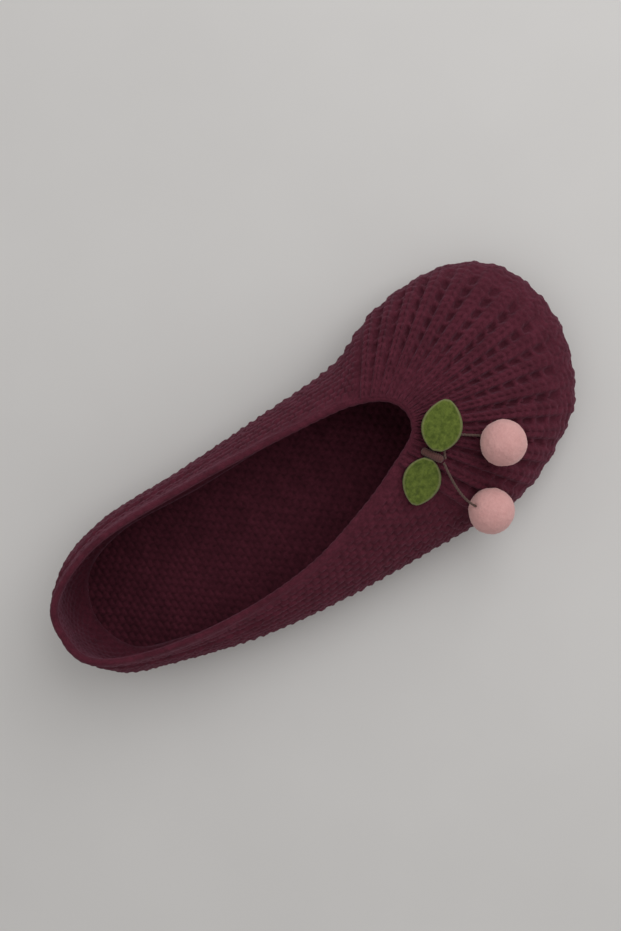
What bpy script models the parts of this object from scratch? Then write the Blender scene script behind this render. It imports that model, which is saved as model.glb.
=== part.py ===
"""Knitted slipper for the right foot: a knitted upper with a fan-ribbed toe cap, a knitted sole,
and at the throat a pair of cherries made of felt leaves, cord stems, a bound tie and pompoms.

Metres, +Z up, +X towards the toe, +Y towards the inner (big toe) side.
The origin is on the floor, under the middle of the heel seat.
"""

import math

import bmesh
import bpy
import numpy as np
from mathutils import Matrix, Vector
from mathutils.bvhtree import BVHTree

MM = 0.001

# Sizes of the foot that the slipper fits, measured outside the knitting
LENGTH = 240 * MM
BALL_WIDTH = 97 * MM
HEEL_WIDTH = 67 * MM
HEEL_HEIGHT = 49 * MM
SIDE_HEIGHT = 40 * MM
INSTEP_HEIGHT = 45 * MM
HEEL_SEAT = 36 * MM

# The collar opening
COLLAR_BACK = 4 * MM
COLLAR_WIDTH = 62 * MM
THROAT_SETBACK = 68 * MM

# The knitting
WALL = 3.0 * MM
RIM_ROUND = 1.1 * MM
SOLE = 3.6 * MM
SOLE_LIP = 0.8 * MM
TUCK = 5.0 * MM
GAP = 0.3 * MM
RIBS = 17
RIB_HEIGHT = 1.1 * MM
RIB_WAVE = (-1.0, 0.4, 1.0, 0.4)

# How far the sole lifts off the floor
ARCH_LIFT = 3.0 * MM
TOE_SPRING = 4.5 * MM
HEEL_ROCKER = 1.2 * MM

# The cherries
LEAF_THICKNESS = 1.6 * MM
STEM_RADIUS = 0.6 * MM
POMPOM_RADIUS = 9.1 * MM
SOCKET_DEPTH = 3.0 * MM
TIE_RADIUS = 1.3 * MM
TIE_LENGTH = 9.4 * MM
TIE_WRAPS = 7
WRAP_DEPTH = 0.25 * MM

# How finely the solids are cut into faces
SIDE_COLUMNS = 4
BELLY_ROWS = 3
CROWN_ROWS = 8
SOLE_STATIONS = 52
SOLE_COLUMNS = 6
STEM_POINTS = 15

# The outline of the slipper from above and the collar's edge, once round from the back of the heel
# along the outer side to the toe tip and back along the inner side.
# along: share of LENGTH.  heel, ball: shares of half of HEEL_WIDTH and of half of BALL_WIDTH, added.
# collar_along: share of the opening's length.  collar_across: share of half of COLLAR_WIDTH.
# belly: height of the widest point, a share of SIDE_HEIGHT.
# shoulder, slope: shares of the rise from the belly to the collar.  crown: share of the run.
# tuck: share of TUCK, how far the sole's seam lies inside the outline.
COLUMNS = ("along", "heel", "ball", "collar_along", "collar_across",
           "belly", "shoulder", "crown", "slope", "tuck")
SECTIONS = {
    "heel_back":        (0.000, 0.00, 0.000, 0.000, 0.00, 0.48, 0.50, 0.10, 0.35, 0.90),
    "heel_corner_out":  (0.040, -0.70, 0.000, 0.035, -0.50, 0.48, 0.50, 0.15, 0.35, 0.90),
    "heel_out":         (0.150, -1.02, 0.000, 0.192, -0.86, 0.46, 0.55, 0.20, 0.30, 1.00),
    "waist_out":        (0.305, -0.50, -0.560, 0.405, -1.02, 0.42, 0.58, 0.25, 0.25, 1.25),
    "mid_out":          (0.470, 0.00, -1.000, 0.610, -0.96, 0.40, 0.60, 0.30, 0.20, 1.35),
    "ball_out":         (0.625, 0.00, -1.035, 0.795, -0.68, 0.38, 0.55, 0.34, 0.18, 1.15),
    "cap_out":          (0.712, 0.00, -1.050, 0.905, -0.43, 0.36, 0.48, 0.40, 0.16, 1.00),
    "little_toe":       (0.800, 0.00, -1.035, 0.957, -0.30, 0.34, 0.46, 0.42, 0.20, 0.95),
    "toe_corner_out":   (0.890, 0.00, -0.840, 0.983, -0.20, 0.32, 0.44, 0.43, 0.24, 0.90),
    "toe_out":          (0.960, 0.00, -0.560, 0.996, -0.08, 0.32, 0.42, 0.43, 0.26, 0.90),
    "toe_tip":          (1.000, 0.00, 0.020, 1.000, 0.07, 0.32, 0.42, 0.43, 0.26, 0.90),
    "toe_in":           (0.974, 0.00, 0.590, 0.993, 0.22, 0.33, 0.43, 0.43, 0.25, 0.90),
    "toe_corner_in":    (0.905, 0.00, 0.890, 0.978, 0.34, 0.35, 0.45, 0.43, 0.22, 0.90),
    "big_toe":          (0.815, 0.00, 0.965, 0.952, 0.45, 0.37, 0.48, 0.42, 0.20, 0.95),
    "cap_in":           (0.725, 0.00, 0.900, 0.912, 0.55, 0.38, 0.52, 0.40, 0.18, 1.10),
    "waist_in":         (0.640, 0.00, 0.735, 0.845, 0.65, 0.40, 0.56, 0.36, 0.20, 1.45),
    "arch_in":          (0.490, 0.00, 0.705, 0.665, 0.77, 0.42, 0.58, 0.30, 0.25, 1.90),
    "mid_in":           (0.320, 0.50, 0.345, 0.445, 0.87, 0.44, 0.58, 0.25, 0.28, 1.60),
    "heel_in":          (0.150, 1.00, 0.000, 0.198, 0.88, 0.46, 0.55, 0.20, 0.30, 1.00),
    "heel_corner_in":   (0.040, 0.70, 0.000, 0.035, 0.52, 0.48, 0.50, 0.15, 0.35, 0.90),
}
FAN_FROM = "cap_out"
FAN_TO = "cap_in"

# Lift of the sole's underside.  along: share of LENGTH.  outer, inner: shares of the lift that the
# row names, at the outer and the inner edge.
SOLE_LIFTS = (
    # along, outer, inner, lift
    (0.000, 1.00, 1.00, HEEL_ROCKER),
    (0.070, 0.00, 0.00, HEEL_ROCKER),
    (0.290, 0.00, 0.00, ARCH_LIFT),
    (0.450, 0.25, 1.00, ARCH_LIFT),
    (0.630, 0.00, 0.00, ARCH_LIFT),
    (0.830, 0.00, 0.00, TOE_SPRING),
    (1.000, 1.00, 1.00, TOE_SPRING),
)

# The tie's and the leaves' places in plan, from the front of the throat: x, y
TIE_BACK = (-4.4 * MM, -15.2 * MM)
TIE_FRONT = (0.5 * MM, -23.0 * MM)
LEAVES = {
    # name: base x, base y, tip direction in degrees from +X, length, width
    "leaf_front": (0.3 * MM, -18.9 * MM, 46.0, 21.0 * MM, 15.8 * MM),
    "leaf_side": (-3.6 * MM, -19.2 * MM, 220.0, 20.0 * MM, 14.8 * MM),
}
CHERRIES = {
    # name: pompom's x from the throat, its y as a share of half of BALL_WIDTH, then the stem's
    # directions in degrees from +X: leaving the tie, and out of the pompom's socket in plan and
    # above the horizontal, and the stem's side of the tie
    "front": (23.8 * MM, -0.571, 62.0, 128.0, -12.0, 1.0),
    "side": (5.4 * MM, -0.990, -98.0, 128.0, 42.0, -1.0),
}


def clear_scene():
    """Removes every object that the file opened with."""
    for thing in list(bpy.data.objects):
        bpy.data.objects.remove(thing)


def collection_named(name):
    """A new collection in the scene."""
    made = bpy.data.collections.new(name)
    bpy.context.scene.collection.children.link(made)
    return made


def material(name, colour, roughness, metallic=0.0):
    """A plain Principled material."""
    made = bpy.data.materials.new(name)
    made.use_nodes = True
    shader = made.node_tree.nodes["Principled BSDF"]
    shader.inputs["Base Color"].default_value = (*colour, 1.0)
    shader.inputs["Roughness"].default_value = roughness
    shader.inputs["Metallic"].default_value = metallic
    return made


def add_mesh(name, points, faces, home, finish):
    """An object from points and faces, smooth, in collection home."""
    mesh = bpy.data.meshes.new(name)
    mesh.from_pydata([tuple(p) for p in points], [], faces)
    mesh.update()
    mesh.shade_smooth()
    made = bpy.data.objects.new(name, mesh)
    made.data.materials.append(finish)
    home.objects.link(made)
    return made


def section_table():
    """The section rows with their shares turned into sizes: one array per name."""
    rows = np.array(list(SECTIONS.values()))
    share = {name: rows[:, k] for k, name in enumerate(COLUMNS)}
    opening = LENGTH - THROAT_SETBACK - COLLAR_BACK
    return {
        "x": share["along"] * LENGTH,
        "y": share["heel"] * HEEL_WIDTH / 2 + share["ball"] * BALL_WIDTH / 2,
        "collar_x": COLLAR_BACK + share["collar_along"] * opening,
        "collar_y": share["collar_across"] * COLLAR_WIDTH / 2,
        "belly": share["belly"] * SIDE_HEIGHT,
        "shoulder": share["shoulder"],
        "crown": share["crown"],
        "slope": share["slope"],
        "tuck": share["tuck"] * TUCK,
    }


def round_spline(values, at):
    """A closed Catmull-Rom curve through values, read at the row numbers in at."""
    count = len(values)
    index = np.floor(at).astype(int)
    t = at - index
    a, b, c, d = (values[(index + k) % count] for k in (-1, 0, 1, 2))
    return b + 0.5 * t * (c - a + t * (2 * a - 5 * b + 4 * c - d + t * (3 * (b - c) + d - a)))


def column_rows(table):
    """Row numbers of the grid's columns round the slipper, and the rib wave at each.

    The fan's columns lie at equal steps along the outline, four to a rib, so that each rib has the
    same width at the rim. The sides have SIDE_COLUMNS to a row of the table.
    """
    names = list(SECTIONS)
    first, last = names.index(FAN_FROM), names.index(FAN_TO)
    fine = np.linspace(first, last, 800)
    steps = np.hypot(np.diff(round_spline(table["x"], fine)), np.diff(round_spline(table["y"], fine)))
    walked = np.concatenate([[0], np.cumsum(steps)])
    fan_count = RIBS * len(RIB_WAVE)
    fan = np.interp(np.linspace(0, walked[-1], fan_count + 1), walked, fine)
    side_out = np.linspace(0, first, first * SIDE_COLUMNS, endpoint=False)
    side_in = np.linspace(last, len(names), (len(names) - last) * SIDE_COLUMNS, endpoint=False)[1:]
    wave = np.array(RIB_WAVE)[np.arange(fan_count + 1) % len(RIB_WAVE)]
    at = np.concatenate([side_out, fan, side_in])
    ribs = np.concatenate([np.zeros(len(side_out)), wave, np.zeros(len(side_in))])
    return at, ribs


def collar_height(x):
    """Height of the collar's edge: highest at the heel, lowest at the middle, up again to the throat."""
    front = LENGTH - THROAT_SETBACK
    middle = (COLLAR_BACK + front) / 2
    to_heel = np.clip((middle - x) / (middle - COLLAR_BACK), 0, 1)
    to_throat = np.clip((x - middle) / (front - middle), 0, 1)
    ease = [t * t * (3 - 2 * t) for t in (to_heel, to_throat)]
    return SIDE_HEIGHT + ease[0] * (HEEL_HEIGHT - SIDE_HEIGHT) + ease[1] * (INSTEP_HEIGHT - SIDE_HEIGHT)


def sole_lift(x, across):
    """Height of the sole's underside at x, where across runs from 0 at the outer edge to 1."""
    rows = np.array([row[:3] for row in SOLE_LIFTS])
    lifts = np.array([row[3] for row in SOLE_LIFTS])
    stations = rows[:, 0] * LENGTH
    place = np.clip(np.searchsorted(stations, x, side="right") - 1, 0, len(stations) - 2)
    t = np.clip((x - stations[place]) / (stations[place + 1] - stations[place]), 0, 1)
    t = t * t * (3 - 2 * t)
    heights = rows[:, 1:] * lifts[:, None]
    edges = heights[place] + t[:, None] * (heights[place + 1] - heights[place])
    return edges[:, 0] + across * (edges[:, 1] - edges[:, 0])


def seat_height(x, y):
    """Height at which the upper sits over the sole at x, y."""
    return sole_lift(x, (y / BALL_WIDTH + 0.5).clip(0, 1)) + SOLE + GAP


def inward(x, y):
    """Unit directions in plan that point into the slipper, for a closed outline."""
    along = np.stack([np.roll(x, -1) - np.roll(x, 1), np.roll(y, -1) - np.roll(y, 1)], axis=1)
    along /= np.linalg.norm(along, axis=1)[:, None]
    return np.stack([-along[:, 1], along[:, 0]], axis=1)


def outer_form(table, at):
    """The upper's smooth outer form as a grid: rows from the sole up, columns at the row numbers at.

    The wall leaves the sole in an elliptical arc out to the widest point, and goes on to the collar
    as a cubic curve that starts upright.
    """
    size = {name: round_spline(values, at) for name, values in table.items()}
    outline = np.stack([size["x"], size["y"]], axis=1)
    base = outline + size["tuck"][:, None] * inward(size["x"], size["y"])
    foot = seat_height(base[:, 0], base[:, 1])
    rows = []
    for step in range(BELLY_ROWS):
        angle = math.radians(30 + 60 * step / BELLY_ROWS)
        out = (math.sin(angle) - 0.5) / 0.5
        up = 1 - math.cos(angle) / math.cos(math.radians(30))
        plan = base + (outline - base) * out
        rows.append(np.column_stack([plan, foot + (size["belly"] - foot) * up]))
    collar = np.stack([size["collar_x"], size["collar_y"]], axis=1)
    top = collar_height(size["collar_x"])
    rise = top - size["belly"]
    hold = collar + (outline - collar) * size["crown"][:, None]
    cage = (
        np.column_stack([outline, size["belly"]]),
        np.column_stack([outline, size["belly"] + rise * size["shoulder"]]),
        np.column_stack([hold, top - rise * size["slope"]]),
        np.column_stack([collar, top]),
    )
    for step in range(CROWN_ROWS + 1):
        t = step / CROWN_ROWS
        weights = ((1 - t) ** 3, 3 * t * (1 - t) ** 2, 3 * t * t * (1 - t), t ** 3)
        rows.append(sum(w * c for w, c in zip(weights, cage)))
    return np.array(rows)


def grid_normals(grid):
    """Outward unit normals of a grid whose columns close on themselves."""
    round_way = np.roll(grid, -1, axis=1) - np.roll(grid, 1, axis=1)
    up_way = np.gradient(grid, axis=0)
    normals = np.cross(round_way, up_way)
    return normals / np.linalg.norm(normals, axis=2)[..., None]


def build_upper(home, finish):
    """The knitted upper: one wall, open at the collar and underneath, with the fan's ribs raised."""
    table = section_table()
    at, ribs = column_rows(table)
    form = outer_form(table, at)
    normals = grid_normals(form)
    share = np.linspace(0, 1, len(form))[:, None]
    swell = 0.40 + 0.60 * np.sin(np.pi * share ** 1.4)
    outer = form + normals * (RIB_HEIGHT * swell * ribs[None, :])[..., None]
    inner = form - normals * WALL
    outer[0, :, 2] = form[0, :, 2]
    inner[0, :, :2] = form[0, :, :2] + WALL * inward(form[0, :, 0], form[0, :, 1])
    inner[0, :, 2] = seat_height(inner[0, :, 0], inner[0, :, 1])
    up_wall = form[-1] - form[-2]
    up_wall /= np.linalg.norm(up_wall, axis=1)[:, None]
    rim = (outer[-1] + inner[-1]) / 2 + up_wall * RIM_ROUND
    rings = [*outer, rim, *inner[::-1]]
    count = len(at)
    points = np.concatenate(rings)
    faces = []
    for ring in range(len(rings)):
        here, above = ring * count, (ring + 1) % len(rings) * count
        for k in range(count):
            after = (k + 1) % count
            faces.append((here + k, here + after, above + after, above + k))
    return add_mesh("upper", points - origin_shift(), faces, home, finish)


def origin_shift():
    """The heel seat's middle, which becomes the origin."""
    return np.array([HEEL_SEAT, 0.0, 0.0])


def sole_edges():
    """The sole's outline in plan as x, outer y and inner y, from heel to toe."""
    table = section_table()
    names = list(SECTIONS)
    at = np.linspace(0, len(names), 800, endpoint=False)
    x, y, tuck = (round_spline(table[name], at) for name in ("x", "y", "tuck"))
    edge = np.stack([x, y], axis=1) + (tuck - SOLE_LIP)[:, None] * inward(x, y)
    edge = np.roll(edge, -edge[:, 0].argmin(), axis=0)
    tip = edge[:, 0].argmax()
    outer = edge[:tip + 1]
    inner = np.concatenate([edge[tip:], edge[:1]])[::-1]
    turn = np.linspace(0.06, math.pi - 0.06, SOLE_STATIONS)
    stations = edge[0, 0] + (edge[tip, 0] - edge[0, 0]) * (1 - np.cos(turn)) / 2
    sides = [np.interp(stations, side[:, 0], side[:, 1]) for side in (outer, inner)]
    return stations, sides[0], sides[1]


def build_sole(home, finish):
    """The knitted sole: a panel with a round edge, lifted at the arch, toe and heel."""
    stations, outer, inner = sole_edges()
    edge_round = min(SOLE / 2, SOLE_LIP * 1.5)
    points = []
    for x, low, high in zip(stations, outer, inner):
        inset = min(edge_round, 0.3 * (high - low))
        flat = np.linspace(low + inset, high - inset, SOLE_COLUMNS + 1)
        ys = np.concatenate([flat, [high], flat[::-1], [low]])
        up = np.concatenate([np.ones(len(flat)), [0.5], np.zeros(len(flat)), [0.5]])
        across = (ys / BALL_WIDTH + 0.5).clip(0, 1)
        z = sole_lift(np.full(len(ys), x), across) + SOLE * up
        points.append(np.column_stack([np.full(len(ys), x), ys, z]))
    ring = len(points[0])
    faces = [tuple(range(ring)), tuple(reversed(range((len(points) - 1) * ring, len(points) * ring)))]
    for station in range(len(points) - 1):
        here, there = station * ring, (station + 1) * ring
        for k in range(ring):
            after = (k + 1) % ring
            faces.append((here + k, there + k, there + after, here + after))
    return add_mesh("sole", np.concatenate(points) - origin_shift(), faces, home, finish)


def surface_of(thing):
    """A search tree over an object's faces."""
    shape = bmesh.new()
    shape.from_mesh(thing.data)
    tree = BVHTree.FromBMesh(shape)
    shape.free()
    return tree


def height_over(tree, x, y):
    """Height of the upper's outside straight under x, y."""
    hit = tree.ray_cast(Vector((x, y, 2 * HEEL_HEIGHT)), Vector((0, 0, -1)))
    return hit[0].z


def throat():
    """The front of the throat in plan, from the origin."""
    front = section_table()
    row = list(SECTIONS).index("toe_tip")
    return np.array([front["collar_x"][row] - HEEL_SEAT, front["collar_y"][row]])


def build_tie(tree, home, finish):
    """The bound tie: a turned cord with a bead for each wrap, lying on the knitting."""
    back, front = (throat() + np.array(p) for p in (TIE_BACK, TIE_FRONT))
    middle = (back + front) / 2
    heights = [height_over(tree, *(back + (front - back) * t)) for t in np.linspace(0.05, 0.95, 9)]
    rest = max(heights) + TIE_RADIUS + GAP
    steps = TIE_WRAPS * 4
    profile = [(0.0, -TIE_LENGTH / 2)]
    for k in range(steps + 1):
        end = min(k, steps - k) / steps
        radius = (TIE_RADIUS - WRAP_DEPTH) * min(1.0, 0.55 + 4 * end)
        radius += WRAP_DEPTH * math.sin(math.pi * (k % 4) / 4)
        profile.append((radius, -TIE_LENGTH / 2 + TIE_LENGTH * (0.02 + 0.96 * k / steps)))
    profile.append((0.0, TIE_LENGTH / 2))
    mesh = bpy.data.meshes.new("tie")
    # A Screw profile at +X runs down its outer side, so it is listed from the top.
    line = [(r, 0.0, z) for r, z in reversed(profile)]
    mesh.from_pydata(line, [(k, k + 1) for k in range(len(line) - 1)], [])
    made = bpy.data.objects.new("tie", mesh)
    made.data.materials.append(finish)
    turn = made.modifiers.new("turn", "SCREW")
    turn.steps = turn.render_steps = 10
    turn.use_merge_vertices = True
    turn.merge_threshold = 0.00001
    turn.use_smooth_shade = True
    home.objects.link(made)
    way = Vector((front[0] - back[0], front[1] - back[1], 0.0)).normalized()
    made.rotation_mode = "QUATERNION"
    made.rotation_quaternion = way.to_track_quat("Z", "Y")
    made.location = (middle[0], middle[1], rest)
    return made, rest


def leaf_fullness(u):
    """Share of a leaf's width at share u of its length: full and round, blunter at the base."""
    return np.sin(np.pi * np.clip(u, 0, 1) ** 0.92) ** 0.62


def bowl_terms(plan, start, length):
    """The terms of a quadratic surface at points in plan, one row per point."""
    x, y = (plan - start).T / length
    return np.column_stack([np.ones(len(x)), x, y, x * x, x * y, y * y])


def build_leaf(name, tree, stems, home, finish):
    """A felt leaf: a plate in a smooth curve that rests on the knitting and on any stem below it.

    stems holds the points of the stems' centre lines.
    """
    base_x, base_y, degrees, length, width = LEAVES[name]
    angle = math.radians(degrees)
    along = np.array([math.cos(angle), math.sin(angle)])
    side = np.array([-along[1], along[0]])
    start = throat() + np.array([base_x, base_y])
    us = (1 - np.cos(np.linspace(0.09 * np.pi, 0.93 * np.pi, 12))) / 2
    vs = np.linspace(-1, 1, 9)
    plan = np.array([
        [start + along * u * length + side * v * leaf_fullness(u) * width / 2 for v in vs]
        for u in us
    ])
    flat = plan.reshape(-1, 2)
    ground = np.array([height_over(tree, *p) for p in flat])
    fit = np.linalg.lstsq(bowl_terms(flat, start, length), ground, rcond=None)[0]
    bottom = bowl_terms(flat, start, length) @ fit
    u = (stems[:, :2] - start) @ along / length
    v = np.abs((stems[:, :2] - start) @ side) / (width / 2)
    under = stems[(u > 0) & (u < 1) & (v < leaf_fullness(u) + 0.1)]
    over_stems = under[:, 2] + STEM_RADIUS - bowl_terms(under[:, :2], start, length) @ fit
    bottom += np.concatenate([ground - bottom, over_stems]).max() + GAP
    bottom = bottom.reshape(len(us), len(vs))
    edge = 1 - 0.35 * np.abs(vs)[None, :] ** 4
    top = bottom + LEAF_THICKNESS * edge
    lower = np.dstack([plan, bottom]).reshape(-1, 3)
    upper = np.dstack([plan, top]).reshape(-1, 3)
    wide, count = len(vs), len(flat)
    faces = []
    for i in range(len(us) - 1):
        for j in range(wide - 1):
            a = i * wide + j
            faces.append((a, a + 1, a + wide + 1, a + wide))
            faces.append((count + a + wide, count + a + wide + 1, count + a + 1, count + a))
    border = list(range(wide)) + [i * wide + wide - 1 for i in range(1, len(us))]
    border += [(len(us) - 1) * wide + j for j in range(wide - 2, -1, -1)]
    border += [i * wide for i in range(len(us) - 2, 0, -1)]
    for a, b in zip(border, border[1:] + border[:1]):
        faces.append((b, a, count + a, count + b))
    made = add_mesh(name, np.concatenate([lower, upper]), faces, home, finish)
    shape = bmesh.new()
    shape.from_mesh(made.data)
    bmesh.ops.recalc_face_normals(shape, faces=shape.faces)
    shape.to_mesh(made.data)
    shape.free()
    return made


def pompom_centre(tree, plan):
    """Where a pompom rests over plan: as low as it lies GAP clear of the knitting."""
    centre = Vector((plan[0], plan[1], SIDE_HEIGHT))
    for _ in range(40):
        distance = tree.find_nearest(centre)[3]
        centre.z += POMPOM_RADIUS + GAP - distance
    return centre


def bearing(plan_degrees, rise_degrees=0.0):
    """A unit direction from its bearing in plan and its rise over the horizontal."""
    plan, rise = math.radians(plan_degrees), math.radians(rise_degrees)
    return Vector((math.cos(rise) * math.cos(plan), math.cos(rise) * math.sin(plan), math.sin(rise)))


def build_pompom(name, centre, mouth, home, cutters, finish):
    """A felted ball with a blind socket for its stem, bored from the point mouth."""
    shape = bmesh.new()
    bmesh.ops.create_uvsphere(shape, u_segments=20, v_segments=12, radius=POMPOM_RADIUS)
    mesh = bpy.data.meshes.new(name)
    shape.to_mesh(mesh)
    shape.free()
    mesh.shade_smooth()
    made = bpy.data.objects.new(name, mesh)
    made.data.materials.append(finish)
    made.location = centre
    home.objects.link(made)
    way = (mouth - centre).normalized()
    drill = bmesh.new()
    bmesh.ops.create_cone(
        drill, cap_ends=True, segments=12, depth=2 * SOCKET_DEPTH,
        radius1=STEM_RADIUS + GAP, radius2=STEM_RADIUS + GAP)
    bore = bpy.data.meshes.new(name + "_socket")
    drill.to_mesh(bore)
    drill.free()
    cutter = bpy.data.objects.new(name + "_socket", bore)
    cutter.matrix_world = Matrix.Translation(centre + way * POMPOM_RADIUS) @ way.to_track_quat(
        "Z", "Y").to_matrix().to_4x4()
    cutter.hide_render = True
    cutter.display_type = "WIRE"
    cutters.objects.link(cutter)
    cut = made.modifiers.new("socket", "BOOLEAN")
    cut.operation = "DIFFERENCE"
    cut.object = cutter
    return made


def stem_route(tree, start, leave, mouth, axis):
    """Points of a stem from the tie into a pompom's socket.

    It is a cubic curve in space, lifted smoothly wherever it would come too near the knitting.
    """
    end = mouth - axis * (SOCKET_DEPTH - GAP)
    reach = (end - start).length
    cage = np.array([start, start + leave * reach * 0.35, mouth + axis * reach * 0.3, end])
    t = np.linspace(0, 1, STEM_POINTS)[:, None]
    points = ((1 - t) ** 3 * cage[0] + 3 * t * (1 - t) ** 2 * cage[1]
              + 3 * t * t * (1 - t) * cage[2] + t ** 3 * cage[3])
    ground = np.array([height_over(tree, x, y) for x, y, z in points])
    lift = (ground + STEM_RADIUS + GAP - points[:, 2]).clip(0)
    lift[-STEM_POINTS // 4:] = 0
    for _ in range(3):
        spread = (np.roll(lift, 1) + np.roll(lift, -1)) / 2
        lift = np.maximum(lift, spread)
    lift[-STEM_POINTS // 5:] = 0
    points[:, 2] += lift
    return [Vector(point) for point in points]


def build_stem(name, route, home, finish):
    """A waxed cord: a round tube along the route."""
    line = bpy.data.curves.new(name, "CURVE")
    line.dimensions = "3D"
    line.bevel_depth = STEM_RADIUS
    line.bevel_resolution = 2
    line.use_fill_caps = True
    spline = line.splines.new("POLY")
    spline.points.add(len(route) - 1)
    for point, place in zip(spline.points, route):
        point.co = (*place, 1.0)
    made = bpy.data.objects.new(name, line)
    made.data.materials.append(finish)
    home.objects.link(made)
    return made


def build_cherries(upper, home, cutters, finishes):
    """The tie, the leaves, the stems and the pompoms, seated on the upper."""
    tree = surface_of(upper)
    tie, rest = build_tie(tree, home, finishes["cord"])
    back, front = (throat() + np.array(p) for p in (TIE_BACK, TIE_FRONT))
    way = Vector((front[0] - back[0], front[1] - back[1], 0.0)).normalized()
    start = Vector((front[0], front[1], rest)) + way * GAP * 2
    beside = Vector((-way.y, way.x, 0.0)) * (STEM_RADIUS + GAP / 2)
    stems = []
    for name, (x, across, leave, socket, rise, side) in CHERRIES.items():
        centre = pompom_centre(tree, (throat()[0] + x, across * BALL_WIDTH / 2))
        axis = bearing(socket, rise)
        mouth = centre + axis * POMPOM_RADIUS
        build_pompom("pompom_" + name, centre, mouth, home, cutters, finishes["pompom"])
        route = stem_route(tree, start + beside * side, bearing(leave), mouth, axis)
        build_stem("stem_" + name, route, home, finishes["cord"])
        stems += route
    for name in LEAVES:
        build_leaf(name, tree, np.array(stems), home, finishes["leaf"])


def main():
    clear_scene()
    home = collection_named("knitted_slipper")
    cutters = collection_named("cutters")
    finishes = {
        "knit": material("burgundy_knit", (0.085, 0.018, 0.032), 0.95),
        "sole_knit": material("burgundy_sole_knit", (0.078, 0.017, 0.030), 0.95),
        "leaf": material("green_felt", (0.122, 0.168, 0.032), 0.9),
        "cord": material("brown_cord", (0.085, 0.045, 0.032), 0.8),
        "pompom": material("pink_flock", (0.700, 0.390, 0.370), 0.95),
    }
    upper = build_upper(home, finishes["knit"])
    build_sole(home, finishes["sole_knit"])
    build_cherries(upper, home, cutters, finishes)


main()
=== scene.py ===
"""Looks of a knitted slipper: fan-ribbed toe cap, seed-stitch sides, felt leaves and pompoms."""

import logging
import math
from dataclasses import dataclass, field
from enum import Enum

import bpy
import numpy as np
from mathutils import Matrix, Vector


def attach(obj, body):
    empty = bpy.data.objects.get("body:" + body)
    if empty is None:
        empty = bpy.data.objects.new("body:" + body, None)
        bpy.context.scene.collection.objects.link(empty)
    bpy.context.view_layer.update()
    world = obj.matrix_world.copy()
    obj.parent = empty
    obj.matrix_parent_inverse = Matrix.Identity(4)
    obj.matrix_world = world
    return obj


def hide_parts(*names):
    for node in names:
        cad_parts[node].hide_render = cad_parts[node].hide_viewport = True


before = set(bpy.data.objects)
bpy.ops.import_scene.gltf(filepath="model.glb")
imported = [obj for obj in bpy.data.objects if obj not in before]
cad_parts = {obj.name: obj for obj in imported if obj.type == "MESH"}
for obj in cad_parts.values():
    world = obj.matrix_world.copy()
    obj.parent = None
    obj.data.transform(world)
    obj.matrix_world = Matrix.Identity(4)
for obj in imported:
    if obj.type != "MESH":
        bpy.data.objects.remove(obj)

LOG = logging.getLogger("slipper")
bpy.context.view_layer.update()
MM = 0.001


# ---------------------------------------------------------------- shapes of numbers

def smooth_step(low: float, high: float, value: np.ndarray) -> np.ndarray:
    """An S-shaped rise from 0 at low to 1 at high: t * t * (3 - 2 t)."""
    t = np.clip((value - low) / (high - low), 0, 1)
    return t * t * (3 - 2 * t)


def round_bead(distance: np.ndarray) -> np.ndarray:
    """Height of a half-round bead: the root of 1 - distance squared, and 0 past its edge."""
    return np.sqrt(np.clip(1 - distance ** 2, 0, 1))


def chance(*numbers: np.ndarray) -> np.ndarray:
    """A settled chance value from 0 to 1 for each set of whole numbers, by mixing their bits.

    Args:
        numbers: Arrays of whole numbers that spread over one another.

    Returns:
        An array of values, the same at every run.
    """
    mixed = np.uint32(2166136261)
    for number in numbers:
        whole = np.asarray(number).astype(np.int64).astype(np.uint32)
        mixed = (mixed ^ whole) * np.uint32(16777619)
        mixed = (mixed ^ (mixed >> np.uint32(15))) * np.uint32(2246822519)
        mixed = mixed ^ (mixed >> np.uint32(13))
    return mixed.astype(float) / 4294967295.0


def lattice_noise(points: np.ndarray, seed: int) -> np.ndarray:
    """Smooth noise from -1 to 1: a chance value at each whole-number corner, eased between corners.

    Args:
        points: Places, with 3 numbers on the last axis, in steps of the lattice.
        seed: Picks one of many patterns.

    Returns:
        One value per place.
    """
    corner = np.floor(points)
    t = points - corner
    t = t * t * (3 - 2 * t)
    total = np.zeros(points.shape[:-1])
    for number in range(8):
        step = np.array([number & 1, number >> 1 & 1, number >> 2 & 1])
        weight = np.prod(np.where(step == 1, t, 1 - t), axis=-1)
        place = corner + step
        total += weight * chance(place[..., 0], place[..., 1], place[..., 2], np.int64(seed))
    return 2 * total - 1


def unit(vectors: np.ndarray) -> np.ndarray:
    """The vectors at length 1."""
    return vectors / np.maximum(np.linalg.norm(vectors, axis=-1, keepdims=True), 1e-12)


def walked(line: np.ndarray, closed: bool = False) -> np.ndarray:
    """Distance walked along a line of points.

    Args:
        line: Points of the line, rows of 3 numbers, or of 2.
        closed: Whether the line runs back to its start.

    Returns:
        The distance at each point, then the whole way round if the line is closed.
    """
    ends = np.concatenate([line, line[:1]]) if closed else line
    steps = np.linalg.norm(np.diff(ends, axis=0), axis=1)
    return np.concatenate([[0], np.cumsum(steps)])


def spread(line: np.ndarray, count: int, closed: bool = False) -> np.ndarray:
    """Points at equal steps along a line.

    Args:
        line: Points of the line, rows of 3 numbers.
        count: How many points come back.
        closed: Whether the line runs back to its start.

    Returns:
        The new points.
    """
    ends = np.concatenate([line, line[:1]]) if closed else line
    distance = walked(line, closed)
    at = np.linspace(0, distance[-1], count, endpoint=not closed)
    return np.stack([np.interp(at, distance, ends[:, k]) for k in range(3)], axis=1)


# ---------------------------------------------------------------- putting surfaces in

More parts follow.
